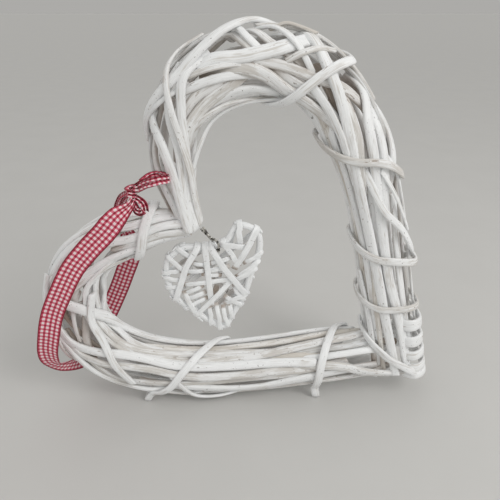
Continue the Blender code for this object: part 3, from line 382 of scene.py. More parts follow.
def rodRoute(half, startMm, endMm, layer, knots):
    course = smoothThrough([(knot[0] / 1000, knot[1], knot[2] if len(knot) > 2 else layer) for knot in knots])
    inset = np.linspace(startMm, endMm, len(course)) / 2000 + course[:, 2] * easing["layer"]
    points, outward = onSurface(half, course[:, 0], course[:, 1], inset)
    runs = runAlong(points)
    count = max(4, round(runs[-1] / easing["rodStep"]) + 1)
    points, outward = (resampled(each, runs, np.linspace(0.0, runs[-1], count)) for each in (points, outward))
    return points, np.linspace(startMm, endMm, count) / 2000, unit(outward)


def wrapRoute(half, thickMm, knots, sagMm):
    angle = easing["wrapStart"] + np.arange(easing["wrapPoints"]) * 360.0 / easing["wrapPoints"]
    turns, places = zip(*knots)
    along = np.interp(angle, turns, np.array(places) / 1000, period=360)
    along = (np.roll(along, 1) + 2 * along + np.roll(along, -1)) / 4
    front, full, back, rear = easing["foot"]
    signed = (angle + 180) % 360 - 180
    foot = np.clip((front - signed) / (front - full), 0, 1) * np.clip((signed - rear) / (back - rear), 0, 1)
    inset = thickMm / 2000 + easing["wrapLayer"] * easing["layer"] - sagMm / 1000 * foot * foot * (3 - 2 * foot)
    points, outward = onSurface(half, along, angle, inset)
    return points, np.full(len(angle), thickMm / 2000), unit(outward)


# only holds the corner's room while the rods are eased; its bands are made further on
def cornerRoute():
    count = cornerBinding["turns"] * cornerBinding["pointsPerTurn"] + 1
    turn = np.linspace(0.0, 2 * pi * cornerBinding["turns"], count)
    along = np.linspace(*cornerBinding["span"], count)
    flat = np.zeros(count)
    middle = onBundle(upper, along, flat, levelled(along, heart["across"]) - cornerBinding["in"])
    outward = unit(onBundle(upper, along, flat, 0.0) - middle)
    points = middle + outward * (cornerBinding["reach"][0] * np.cos(turn))[:, None]
    points[:, 1] -= cornerBinding["reach"][1] * np.sin(turn)
    return points, np.full(count, cornerBinding["thick"] / 2), outward


def nearestOnSegments(p1, q1, p2, q2):
    d1, d2, r = q1 - p1, q2 - p2, p1 - p2
    a = np.maximum((d1 * d1).sum(1), 1e-12)
    e = np.maximum((d2 * d2).sum(1), 1e-12)
    b, c, f = (d1 * d2).sum(1), (d1 * r).sum(1), (d2 * r).sum(1)
    free = a * e - b * b
    s = np.where(free > 1e-6 * a * e, np.clip((b * f - c * e) / np.maximum(free, 1e-18), 0, 1), 0.5)
    t = np.clip((b * s + f) / e, 0, 1)
    return np.clip((b * t - c) / a, 0, 1), t


# pushes crossing rods off each other, each bend spread along its rod
def easeApart(routes, closed):
    names = list(routes)
    starts = np.cumsum([0] + [len(routes[name][0]) for name in names])
    points, outward = (np.vstack([routes[name][k] for name in names]) for k in (0, 2))
    radii = np.concatenate([routes[name][1] for name in names])
    lowest = radii - easing["footCut"]
    points[:, 2] = np.maximum(points[:, 2], lowest)
    home = points.copy()
    owner = np.concatenate([np.full(len(routes[name][0]), k) for k, name in enumerate(names)])
    after, before = np.arange(len(points)) + 1, np.arange(len(points)) - 1
    for k, name in enumerate(names):
        first, last = starts[k], starts[k + 1] - 1
        after[last] = first if name in closed else last
        before[first] = last if name in closed else first
    heads = np.nonzero(after != np.arange(len(points)))[0]
    tails = after[heads]
    for turn in range(easing["rounds"]):
        if turn % easing["searchEvery"] == 0:
            middles = (points[heads] + points[tails]) / 2
            gaps = np.linalg.norm(middles[:, None, :] - middles[None, :, :], axis=2)
            one, two = np.nonzero(np.triu(gaps < easing["searchReach"] * easing["rodStep"], 1))
            apart = owner[heads[one]] != owner[heads[two]]
            a1, b1, a2, b2 = heads[one[apart]], tails[one[apart]], heads[two[apart]], tails[two[apart]]
        s, t = nearestOnSegments(points[a1], points[b1], points[a2], points[b2])
        offset = (points[a1] + (points[b1] - points[a1]) * s[:, None]
                  - points[a2] - (points[b2] - points[a2]) * t[:, None])
        distance = np.maximum(np.linalg.norm(offset, axis=1), 1e-7)
        wanted = (radii[a1] * (1 - s) + radii[b1] * s + radii[a2] * (1 - t) + radii[b2] * t
                  + easing["clearance"])
        short = np.maximum(wanted - distance, 0.0)
        hit = short > 0
        push = offset[hit] / distance[hit, None] * short[hit, None] * 0.5
        move, weight = np.zeros_like(points), np.zeros(len(points))
        for index, share, way in ((a1, 1 - s, 1), (b1, s, 1), (a2, 1 - t, -1), (b2, t, -1)):
            np.add.at(move, index[hit], push * share[hit][:, None] * way)
            np.add.at(weight, index[hit], share[hit])
        points = points + easing["eagerness"] * move / np.maximum(weight, easing["leastWeight"])[:, None]
        calm = max(0.0, 1.0 - turn / (easing["calmAfter"] * easing["rounds"]))
        drift = points - home
        points = points + easing["spreading"] * calm * ((drift[after] + drift[before]) / 2 - drift)
        points = points - easing["homing"] * calm * (points - home)
        rise = ((points - home) * outward).sum(1)
        points = points - easing["bulgeEase"] * outward * np.maximum(rise - easing["bulgeLimit"], 0.0)[:, None]
        points[:, 2] = np.maximum(points[:, 2], lowest)
    ring = np.isin(owner, [k for k, name in enumerate(names) if name in closed])
    pressed = ring & (points[:, 2] < radii + easing["pressedWithin"])
    points[pressed, 2] = lowest[pressed]
    return {name: (points[starts[k]:starts[k + 1]], outward[starts[k]:starts[k + 1]])
            for k, name in enumerate(names)}


routes = {}


def addRods(upperOnes, lowerOnes):
    for half, ones in ((upper, upperOnes), (lower, lowerOnes)):
        routes.update({name: rodRoute(half, *row) for name, row in ones.items()})


addRods(upperRods, lowerRods)
routes.update({name: wrapRoute(*row) for name, row in wraps.items()})
routes["corner_binding"] = cornerRoute()
addRods(upperTwigs, lowerTwigs)
# peeled willow is soft: the rods press into flats where they cross
pressed = {name: (points, radii * easing["press"], outward) for name, (points, radii, outward) in routes.items()}
eased = {name: (points + heart["centredBy"], routes[name][1], outward)
         for name, (points, outward) in easeApart(pressed, set(wraps)).items()}
print("rods eased apart,", len(eased))


# the meshes
strand = {
    "ringStep": 0.0019,
    "sides": 14,
    "broad": 1.20,  # the rods are wider than they are thick
    "flat": 0.56,
    "ringFlat": 0.44,
    "edge": 0.74,
    "slowSwell": (0.045, 22),  # share of the radius, and how often
    "quickSwell": (0.022, 75),
    "oval": (0.02, 0.06),
    "ovalTwist": 9,
    "ridges": (0.028, 2.1, 14),  # share of the radius, how often round it and along it
    "budGap": (0.026, 0.060),
    "budRise": 0.085,
    "budLength": 0.0017,
    "budReach": 0.005,
    "cut": ((0.93, 0.10), (0.80, 0.16), (0.0, 0.14)),  # each end: share of the radius, and radii pushed out
    "slope": (0.15, 0.7),
    "slopeReach": 2.5,  # radii
}


def framesAlong(line, closed, outward=None):
    ahead = unit(np.roll(line, -1, 0) - np.roll(line, 1, 0) if closed else np.gradient(line, axis=0))
    side = np.zeros_like(line)
    for k in range(len(line)):
        last = np.cross(ahead[0], (0.3, 1.0, 0.2)) if k == 0 else side[k - 1]
        if outward is not None:
            last = outward[k]
        last = last - ahead[k] * (last @ ahead[k])
        side[k] = last / np.linalg.norm(last)
    if closed and outward is None:
        back = side[-1] - ahead[0] * (side[-1] @ ahead[0])
        twist = atan2(np.cross(back, side[0]) @ ahead[0], back @ side[0])
        turn = (twist * np.arange(len(line)) / len(line))[:, None]
        side = side * np.cos(turn) + np.cross(ahead, side) * np.sin(turn)
    return ahead, side, np.cross(ahead, side)


def roll3(x, y, z):
    return noise.noise(Vector((x, y, z)))


# adds one strand to the mesh in work: a grid rolled round the line, its ends cut at a slope unless it is closed
def rollStrand(work, line, radii, seed, closed=False, sides=strand["sides"], outward=None, flat=1.0, wavy=1.0,
               edge=strand["edge"]):
    grain, reach = work.verts.layers.float_vector["grain"], work.verts.layers.float["reach"]
    ahead, side, up = framesAlong(line, closed, outward)
    runs = runAlong(line)
    count, total = len(line), runs[-1]
    bothEnds = ((0, 0, -1), (1, count - 1, 1))
    chance = np.random.default_rng(seed)
    offset = chance.uniform(0, 40)
    buds = []
    place = chance.uniform(0.3, 1.0) * strand["budGap"][0]
    while place < total:
        buds.append((place, chance.uniform(0, 2 * pi), chance.uniform(0.4, 1.0)))
        place += chance.uniform(*strand["budGap"])
    radii = np.array(radii, dtype=float)
    (slow, slowOften), (quick, quickOften) = strand["slowSwell"], strand["quickSwell"]
    for k in range(count):
        radii[k] *= 1 + wavy * (slow * roll3(runs[k] * slowOften, offset, 1.0)
                                + quick * roll3(runs[k] * quickOften, offset, 5.0))
    # rows of (point, share of the radius, how far along the line it is pushed)
    rows = [(k, 1.0, 0.0) for k in range(count)]
    if closed:
        rows.append((0, 1.0, 0.0))
    else:
        for end, last, way in bothEnds:
            lead = [(last, share, out * radii[last] * way) for share, out in strand["cut"]]
            rows = lead[::-1] + rows if end == 0 else rows + lead
    slopes = [chance.uniform(*strand["slope"]) for end in bothEnds]
    lean = chance.uniform(0, 2 * pi, 2)
    oval, ovalTurn = chance.uniform(*strand["oval"]), chance.uniform(0, pi)
    ridge, ridgeRound, ridgeAlong = strand["ridges"]
    made = bmesh.ops.create_grid(work, x_segments=len(rows) - 1, y_segments=sides, size=1.0)["verts"]
    for corner in made:
        row = round((corner.co.x + 1) / 2 * (len(rows) - 1))
        step = round((corner.co.y + 1) / 2 * sides) % sides
        k, share, push = rows[row]
        a = 2 * pi * step / sides
        swell = 1 + oval * cos(2 * (a - ovalTurn - runs[k] * strand["ovalTwist"]))
        swell += wavy * ridge * roll3(cos(a) * ridgeRound + offset, sin(a) * ridgeRound,
                                      runs[k] * ridgeAlong + offset)
        for budPlace, budTurn, size in buds:
            if abs(runs[k] - budPlace) < strand["budReach"]:
                swell += (wavy * size * strand["budRise"] * np.exp(-((runs[k] - budPlace) / strand["budLength"]) ** 2)
                          * (0.25 + 0.75 * max(cos(a - budTurn), 0) ** 2))
        r = radii[k] * share * swell
        across, rise = r * flat * bulged(cos(a), edge), r * bulged(sin(a), edge)
        for end, last, way in bothEnds:
            near, sloped = abs(runs[k] - runs[last]), strand["slopeReach"] * radii[last]
            if not closed and near < sloped:
                push += way * slopes[end] * r * cos(a - lean[end]) * (1 - near / sloped)
        corner.co = line[k] + side[k] * across + up[k] * rise + ahead[k] * push
        corner.co.z = max(corner.co.z, 0.0)
        corner[grain] = (runs[k] + push + offset, radii[k] * cos(a), radii[k] * sin(a))
        corner[reach] = 1.0
    bmesh.ops.remove_doubles(work, verts=made, dist=1e-7)


def newWork():
    work = bmesh.new()
    work.verts.layers.float_vector.new("grain")
    work.verts.layers.float.new("reach")
    return work


stations = np.linspace(0, 1, 70)
middles = np.vstack([onBundle(half, stations, 0 * stations, 1.0) for half in (upper, lower)]) + heart["centredBy"]
sizes = np.concatenate([(levelled(stations, heart["across"]) + levelled(stations, heart["depth"])) / 2] * 2)


# how near each point is to the outside of its bundle: 0 in its middle, about 1 on the outer rods
def setReach(work):
    layer = work.verts.layers.float["reach"]
    for corner in work.verts:
        gaps = np.linalg.norm(np.array(corner.co) - middles, axis=1)
        corner[layer] = float(gaps.min() / sizes[gaps.argmin()])


def placed(name, data):
    thing = bpy.data.objects.new(name, data)
    bpy.context.scene.collection.objects.link(thing)
    return thing


def finishPiece(name, work, finish, replaced):
    bmesh.ops.recalc_face_normals(work, faces=work.faces)
    mesh = bpy.data.meshes.new(name)
    work.to_mesh(mesh)
    work.free()
    mesh.materials.append(finish)
    for face in mesh.polygons:
        face.use_smooth = True
    piece = placed(name, mesh)
    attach(piece, "root")
    if replaced:
        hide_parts(*replaced)
    return piece


def evenLine(points, radii, outward, closed=False):
    course = roundThrough(np.hstack((points, radii[:, None], outward)), closed, 10)
    if closed:
        course = np.vstack((course, course[:1]))
    runs = runAlong(course[:, :3])
    places = np.linspace(0, runs[-1], max(6, round(runs[-1] / strand["ringStep"])) + 1)
    course = resampled(course, runs, places[:-1] if closed else places)
    return course[:, :3], course[:, 3], course[:, 4:]


# the finishes
def newFinish(name):
    finish = bpy.data.materials.new(name)
    finish.use_nodes = True
    return finish, finish.node_tree, finish.node_tree.nodes["Principled BSDF"]


def feed(tree, node, inputs):
    for key, value in inputs.items():
        if isinstance(value, bpy.types.NodeSocket):
            tree.links.new(value, node.inputs[key])
        else:
            node.inputs[key].default_value = value


def addNode(tree, kind, inputs=None, **settings):
    node = tree.nodes.new(kind)
    for key, value in settings.items():
        setattr(node, key, value)
    feed(tree, node, inputs or {})
    return node


def blended(tree, amount, one, two, way="MIX"):
    return addNode(tree, "ShaderNodeMix", {0: amount, 6: one, 7: two}, data_type="RGBA", blend_type=way).outputs[2]


def shaded(tree, colour, shade):
    grey = addNode(tree, "ShaderNodeCombineColor", {0: shade, 1: shade, 2: shade}).outputs[0]
    return blended(tree, 1.0, colour, grey, "MULTIPLY")


def sums(tree, way, one, two=0.0):
    return addNode(tree, "ShaderNodeMath", {0: one, 1: two}, operation=way).outputs[0]


def times(tree, one, two):
    return sums(tree, "MULTIPLY", one, two)


def graded(tree, value, low, high, start=0.0, end=1.0):
    return addNode(tree, "ShaderNodeMapRange", {0: value, 1: low, 2: high, 3: start, 4: end},
                   interpolation_type="SMOOTHSTEP").outputs[0]


def grainNoise(tree, vector, stretch, detail, rough, shift=0.0):
    moved = addNode(tree, "ShaderNodeMapping", {"Vector": vector, "Location": (shift, shift, shift),
                                                "Scale": stretch}).outputs[0]
    return addNode(tree, "ShaderNodeTexNoise", {"Vector": moved, "Scale": 1.0, "Detail": detail,
                                                "Roughness": rough}).outputs["Fac"]


def mottling(tree, scale, detail):
    place = addNode(tree, "ShaderNodeTexCoord").outputs["Object"]
    return addNode(tree, "ShaderNodeTexNoise", {"Vector": place, "Scale": scale, "Detail": detail}).outputs["Fac"]


willow = {
    "paint": (0.90, 0.91, 0.915, 1),
    "thin": (0.68, 0.66, 0.63, 1),
    "wood": (0.24, 0.16, 0.10, 1),
    # deep: bare willow with painted shade, for faces deep inside a bundle
    "deep": (0.30, 0.215, 0.15, 1),
    "speck": (0.09, 0.07, 0.055, 1),
}


# chalky white brushed over peeled willow, thinner in the hollows of the grain; deep in a bundle it turns to the deep
# brown, partly bare wood where brushes couldn't reach and partly painted shade between the rods
def willowFinish(name, cover, wear, tint=(1, 1, 1)):
    finish, tree, shader = newFinish(name)
    grain = addNode(tree, "ShaderNodeAttribute", attribute_name="grain").outputs["Vector"]
    reach = addNode(tree, "ShaderNodeAttribute", attribute_name="reach").outputs["Fac"]
    streak = grainNoise(tree, grain, (38, 900, 900), 4.0, 0.65)
    fibre = grainNoise(tree, grain, (140, 2600, 2600), 3.0, 0.6, 3.0)
    patch = grainNoise(tree, grain, (46, 150, 150), 3.0, 0.55, 7.0)
    chip = grainNoise(tree, grain, (420, 760, 760), 2.0, 0.55, 11.0)
    blotch = grainNoise(tree, grain, (130, 330, 330), 3.0, 0.6, 17.0)
    paint, thin = (tuple(a * b for a, b in zip(willow[layer], (*tint, 1))) for layer in ("paint", "thin"))
    body = sums(tree, "ADD", times(tree, streak, 0.55), times(tree, patch, 0.45))
    painted = graded(tree, body, 0.50 - cover, 0.62 - cover)
    colour = shaded(tree, blended(tree, painted, thin, paint), graded(tree, fibre, 0.25, 0.75, 0.90, 1.04))
    # painted shade and bare wood together: browner the further a point lies inside its bundle
    inside = times(tree, graded(tree, reach, 0.86, 0.60), graded(tree, patch, 0.30, 0.60, 0.55, 1.0))
    bare = times(tree, graded(tree, blotch, 0.62 - wear, 0.70 - wear), graded(tree, streak, 0.45, 0.60))
    specks = times(tree, graded(tree, chip, 0.66, 0.72), graded(tree, patch, 0.42, 0.60))
    for amount, most, shade in ((inside, 0.8, "deep"), (bare, 0.75, "wood"), (specks, 0.7, "speck")):
        colour = blended(tree, times(tree, amount, most), colour, willow[shade])
    height = sums(tree, "ADD", times(tree, streak, 0.6), times(tree, fibre, 0.4))
    height = sums(tree, "SUBTRACT", height, times(tree, bare, 0.35))
    bump = addNode(tree, "ShaderNodeBump", {"Height": height, "Distance": 0.0005, "Strength": 0.55})
    feed(tree, shader, {"Base Color": colour, "Roughness": graded(tree, painted, 0.0, 1.0, 0.72, 0.52),
                        "Normal": bump.outputs[0], "Specular IOR Level": 0.35})
    return finish


brightWillow = willowFinish("brightWillow", 0.14, -0.02)
wornWillow = willowFinish("wornWillow", 0.06, 0.03, (0.97, 0.965, 0.96))
# thinner, creamier paint, dimmed and warmed by its tint: partly the real beige of thin paint on inner rods, partly
# painted shade
creamShadedWillow = willowFinish("creamShadedWillow", 0.03, 0.02, (0.96, 0.935, 0.90))
# a copy of the worn paint dimmed to grey: painted shade for rods at the back that lie in shadow
shadedGreyWillow = willowFinish("shadedGreyWillow", 0.05, 0.03, (0.84, 0.845, 0.85))
stripWillow = willowFinish("stripWillow", 0.18, -0.08, (1, 1.005, 1.01))
willows = (brightWillow, wornWillow, brightWillow)
print("finishes made")

# the rods, twigs and bindings
rodFinish = {name: finish for finish, names in (
    (brightWillow, ("wrap_limb", "wrap_foot_left", "wrap_foot_right", "wrap_corner", "wrap_shoulder",
                    "lower_end_over", "lower_long_front", "lower_end_upright", "upper_front_second",
                    "upper_front_slant", "upper_front_third")),
    (wornWillow, ("wrap_side", "wrap_side_low", "wrap_tip")),
    (shadedGreyWillow, ("lower_tip_grey", "upper_outer_back", "limb_back_thin")),
    (creamShadedWillow, ("lower_inner_top", "lower_beige", "tip_cream", "top_brown", "side_brown", "lower_end_brown",
                   "side_behind"))) for name in names}
for number, (name, (points, radii, outward)) in enumerate(eased.items()):
    if name == "corner_binding":
        continue
    ring = name in wraps
    if ring:  # the seam goes inside the heart
        points, outward = (np.roll(value, -len(points) // 2, 0) for value in (points, outward))
    line, widths, out = evenLine(points, radii, outward, ring)
    work = newWork()
    rollStrand(work, line, widths * strand["broad"], 100 + number, ring, outward=out,
               flat=strand["ringFlat"] if ring else strand["flat"])
    setReach(work)
    finish = rodFinish.get(name, willows[(5 * len(name) + number) % len(willows)])
    finishPiece(name + ".willow", work, finish, (name,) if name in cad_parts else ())
print("strands made,", len(eased))

# the corner is woven round its outer rods with broad flat bands
weft = {
    # along at the front, along outside, width in mm
    "bands": ((0.084, 0.070, 9.2), (0.045, 0.033, 9.2), (0.011, 0.002, 8.6), (-0.018, -0.030, 7.6),
              (-0.037, -0.049, 6.2)),
    "thick": 2.6,
    "edge": 0.6,
    # angle and mm under the bundle's surface
    "route": ((80, 4.6), (71, 0.6), (60, -1.6), (38, -1.6), (15, -1.6), (-12, -1.6), (-38, -1.6), (-64, -1.6),
              (-84, 0.0), (-98, 5.0)),
}
work = newWork()
angles, inset = np.array(weft["route"], dtype=float).T
for number, (front, outside, wide) in enumerate(weft["bands"]):
    along = front + (outside - front) * np.cos(np.radians(angles)) ** 2
    points, outward = onSurface(upper, along, angles, inset / 1000)
    line, widths, out = evenLine(points + heart["centredBy"], np.full(len(angles), wide / 2000), unit(outward))
    rollStrand(work, line, widths, 250 + number, outward=out, flat=weft["thick"] / wide, edge=weft["edge"])
setReach(work)
finishPiece("cornerWeft", work, brightWillow, ("corner_binding",))
print("corner woven")

# the little heart, in mm from its tip's place in metres
littleHeart = {
    "tip": (-0.0160, -0.0040, 0.0630),
    "rim": 2.3,
    "rimPoints": 150,
    "outline": ((1.5, 2), (-11, 9), (-20.5, 17), (-32, 27), (-38, 42), (-38, 57), (-33, 64), (-25.5, 69), (-13, 69),
                (-2.5, 70), (4.5, 73), (13, 85), (24.5, 82), (28.5, 74), (27.5, 62), (22.5, 47), (18, 32), (9, 14)),
    "face": 2.8,  # from the rim's middle to the lowest strips
    "rise": 0.75,
    "thick": 1.1,
    "sides": 12,
    "edge": 0.38,
    "step": 1.2,
    "foldedWithin": 6.0,  # of the rim
    "darkenedBeyond": 5.5,
    # x, z of both ends, width, and where they aren't 0 the level and the bow to one side
    "front": ((-16, 70, -30.5, 30, 4.6, 2, 2.5), (-10, 70, -7, 22, 4.4, 1), (-6.5, 67, 18, 32, 4.6, 2),
              (9, 44, -18, 15, 3.8, 2), (-26.5, 33, -19.5, 16, 3.8, 1), (-25.5, 40, 9, 44, 3.4),
              (-25.5, 51, -11, 51, 3.2), (-9, 51, 5.5, 54, 3.6), (-7, 57, 8, 61, 3.2), (-19.5, 57, -10, 56, 3.0),
              (-36, 63, -23.5, 49, 3.4, 1), (-28.5, 69, -19.5, 61, 3.4), (-40, 51, -28.5, 51, 3.2),
              (-38, 45, -27.5, 44, 3.2), (-37, 38, -28.5, 39, 3.2), (-25.5, 33, -14, 38, 3.2),
              (-24.5, 28, -12, 33, 3.4), (-22.5, 23, -11, 28, 3.2), (13, 88, 15, 71, 4.4, 1),
              (26.5, 82, 11, 53, 4.6, 2), (2.5, 72, 20, 69, 4.4, 1), (6.5, 69, 13, 55, 3.6, 1),
              (28.5, 63, 18, 57, 3.4), (27.5, 57, 13, 46, 3.6), (24.5, 50, 11, 43, 3.6), (16, 31, 3.5, 23, 3.6, 1),
              (10, 38, 13, 30, 3.2), (3.5, 29, 12, 23, 3.2), (-9, 20, -7, 9, 3.4), (-3.5, 22, -0.5, 5, 3.4, 1),
              (1.5, 20, 3.5, 6, 3.2), (6.5, 22, 8, 11, 3.4, 1), (-12, 48, -0.5, 47, 3.0)),
    "back": ((-40, 48, -4.5, 70, 3.8), (-34, 30, 24.5, 78, 4.2, 1), (14, 22, -29.5, 66, 4.2),
             (-13, 11, 22.5, 44, 3.8), (12, 84, -4.5, 30, 4.2, 2), (-25.5, 69, -15, 15, 4.0, 2)),
}
outline = roundThrough(littleHeart["outline"], True, 8)


# ends near the rim are folded over it, the others go under their neighbours
def heartStrip(work, row, side, seed):
    x1, z1, x2, z2, width, level, bow = (*row, 0, 0)[:7]
    one, two = np.array((x1, z1), dtype=float), np.array((x2, z2), dtype=float)
    course = (two - one) / np.linalg.norm(two - one)
    height = -(littleHeart["face"] + level * littleHeart["rise"])
    ends = []
    for place, inward in ((one, course), (two, -course)):
        gaps = np.linalg.norm(outline - place, axis=1)
        edge = outline[gaps.argmin()]
        if gaps.min() < littleHeart["foldedWithin"]:
            ends.append([(edge - inward * 2.7, 2.0), (edge - inward * 3.0, -0.6), (edge - inward * 2.0, -2.5),
                         (edge + inward * 1.4, height * 0.5 - 1.5)])
        else:
            ends.append([(place - inward * 1.5, -1.2), (place + inward * 1.5, -2.0)])
    aside = np.array((course[1], -course[0])) * bow
    middle = [(one * (1 - t) + two * t + aside * 4 * t * (1 - t), height) for t in (0.35, 0.5, 0.65)]
    line = np.array([(p[0], side * y, p[1]) for p, y in ends[0] + middle + ends[1][::-1]]) / 1000
    line = evened(roundThrough(line + littleHeart["tip"], False, 6), littleHeart["step"] / 1000, 8)
    straight = np.array((course[1], 0.0, -course[0]))
    flatWay = np.cross(np.gradient(line, axis=0), (0.0, 1.0, 0.0))
    flatWay /= np.maximum(np.linalg.norm(flatWay, axis=1), 1e-9)[:, None]
    flatWay = np.where((flatWay @ straight)[:, None] < 0, -flatWay, flatWay) * 0.2 + straight
    rollStrand(work, line, np.full(len(line), littleHeart["thick"] / 2000), seed, sides=littleHeart["sides"],
               outward=flatWay, flat=width / littleHeart["thick"], wavy=0.8, edge=littleHeart["edge"])


work = newWork()
rimLine = np.array([(x / 1000, 0.0, z / 1000) for x, z in outline]) + littleHeart["tip"]
rimLine = np.vstack((rimLine, rimLine[:1]))
rimRuns = runAlong(rimLine)
rimLine = resampled(rimLine, rimRuns, np.linspace(0, rimRuns[-1], littleHeart["rimPoints"])[:-1])
rollStrand(work, rimLine, np.full(len(rimLine), littleHeart["rim"] / 1000), 7, True, sides=littleHeart["sides"])
rimCorners = len(work.verts)
for rows, side, seed in ((littleHeart["front"], 1, 300), (littleHeart["back"], -1, 400)):
    for number, row in enumerate(rows):
        heartStrip(work, row, side, seed + number)
# inside the rim the strips' inner faces take the deep brown: partly bare where the paint missed, partly painted shade
# between the two layers of strips
layer = work.verts.layers.float["reach"]
for corner in list(work.verts)[rimCorners:]:
    place = (np.array(corner.co) - littleHeart["tip"]) * 1000
    if np.linalg.norm(outline - place[[0, 2]], axis=1).min() > littleHeart["darkenedBeyond"]:
        corner[layer] = float(np.interp(abs(place[1]), (2.0, 2.9), (0.60, 1.0)))
finishPiece("littleHeart", work, stripWillow, ("pendant_heart",))
print("little heart made")

# its wire, two strands twisted together
wire = {
    # its route in mm, from the notch over the rim and back
    "route": ((-31, -16, 151), (-28, -15, 147), (-25, -13, 143), (-21.5, -11.5, 140), (-20, -9.5, 136),
              (-20, -8, 131), (-20.4, -4, 128.8), (-22, 0, 130), (-24, 1, 133.5), (-25.8, -1, 137.5),
              (-26.4, -5, 140.5), (-26.8, -9.5, 143), (-28, -12.5, 147), (-30, -13.2, 151)),
    "radius": 0.0005,
    "apart": 1.05,  # radii from the middle
    "twist": 0.0036,
    "step": 0.0005,
}
steel, steelTree, steelShader = newFinish("blackenedWire")
rust = mottling(steelTree, 420.0, 3.0)
feed(steelTree, steelShader, {
    "Base Color": blended(steelTree, graded(steelTree, rust, 0.40, 0.62), (0.05, 0.045, 0.04, 1),
                          (0.62, 0.60, 0.56, 1)),
    "Roughness": graded(steelTree, rust, 0.3, 0.7, 0.5, 0.28), "Metallic": 0.8})

line = evened(roundThrough(np.array(wire["route"]) / 1000 + heart["centredBy"], False, 16), wire["step"])
ahead, side, up = framesAlong(line, False)
work = newWork()
for number, start in enumerate((0.0, pi)):
    turn = (runAlong(line) * 2 * pi / wire["twist"] + start)[:, None]
    strandLine = line + (side * np.cos(turn) + up * np.sin(turn)) * wire["radius"] * wire["apart"]
    rollStrand(work, strandLine, np.full(len(line), wire["radius"]), 500 + number, sides=8, wavy=0.3)
finishPiece("hangingWire", work, steel, ("hanging_wire",))
print("wire made")

# the ribbon
ribbon = {
    "wide": 0.0150,
    "thick": 0.00035,
    "check": 3.3,  # mm
    "thread": 0.42,  # mm
    "edge": (0.0066, 0.0069),
    "step": 0.0010,
    "across": 24,
    "cup": 0.0012,
    "pleats": (0.1, 7.0, 2.0, 40),  # share of the width, radians out to each edge, sway, and how often it sways
    "ripple": (0.0006, 1.2, 55),  # how high, how often across and along
    # how far along the long loop, and the way its width points there
    "faces": ((0, 0.88, 0, -0.47), (0.38, 0.90, 0, -0.42), (0.43, 0.65, 0.1, 0.5), (0.48, 0.2, 0.2, 0.8),
              (0.53, 0.6, -0.3, 0.5), (0.58, 0.85, -0.1, 0), (0.64, 0.88, 0, -0.47), (1, 0.88, 0, -0.47)),
    # the routes are in mm
    "long": ((-72, -22, 176), (-75, -27, 172), (-83, -31, 166), (-92, -32, 156), (-103, -32, 145),
             (-115, -32, 131), (-125, -32, 114), (-134, -31, 96), (-140, -30, 77), (-144, -27, 61),
             (-144, -22, 48), (-137, -10, 38), (-130, 6, 31), (-128, 18, 31), (-121, 29, 44),
             (-109, 32, 66), (-97, 32, 92), (-88, 31, 118), (-94, 26, 143), (-88, 14, 162), (-79, 1, 171),
             (-74, -13, 176), (-73, -19, 178)),
    # up to the limb, round its edge and back
    "short": ((-71, -19, 181), (-65, -22, 185), (-60, -24, 187), (-55, -23, 188), (-51, -18, 187),
              (-53, -12, 187), (-58, -10, 187.5), (-63, -12, 187), (-68, -16, 184)),
    "tail": ((-72, -22, 176), (-69, -25, 176), (-66, -27, 174), (-65, -28, 171), (-67, -27.5, 168.5),
             (-70.5, -26, 168.5), (-72, -24, 171), (-73, -22, 174)),
    # top, foot, radius, turns, bow to one side, points
    "knot": ((-72.0, -20.8, 183), (-73, -20.8, 176), 2.3, 1.7, 1.2, 18),
}


def ginghamFinish():
    finish, tree, shader = newFinish("redGingham")
    cloth = addNode(tree, "ShaderNodeUVMap", uv_map="cloth").outputs[0]
    apart = addNode(tree, "ShaderNodeSeparateXYZ", {0: cloth}).outputs
    along, across = (graded(tree, sums(tree, "COSINE", times(tree, apart[axis], 2 * pi * 1000 / ribbon["check"])),
                            -0.05, 0.25) for axis in (0, 1))
    pale = blended(tree, across, (0.95, 0.82, 0.83, 1), (0.76, 0.19, 0.27, 1))
    dark = blended(tree, across, (0.70, 0.105, 0.18, 1), (0.36, 0.003, 0.026, 1))
    edge = graded(tree, sums(tree, "ABSOLUTE", apart[0]), *ribbon["edge"])
    colour = blended(tree, edge, blended(tree, along, pale, dark), (0.28, 0.006, 0.028, 1))
    weave = times(tree, *(sums(tree, "SINE", times(tree, apart[axis], 2 * pi * 1000 / ribbon["thread"]))
                          for axis in (0, 1)))
    bump = addNode(tree, "ShaderNodeBump", {"Height": weave, "Distance": 0.0001, "Strength": 0.5})
    feed(tree, shader, {"Base Color": shaded(tree, colour, graded(tree, weave, -1.0, 1.0, 0.86, 1.06)),
                        "Normal": bump.outputs[0], "Roughness": 0.62, "Sheen Weight": 0.08})
    return finish


gingham = ginghamFinish()


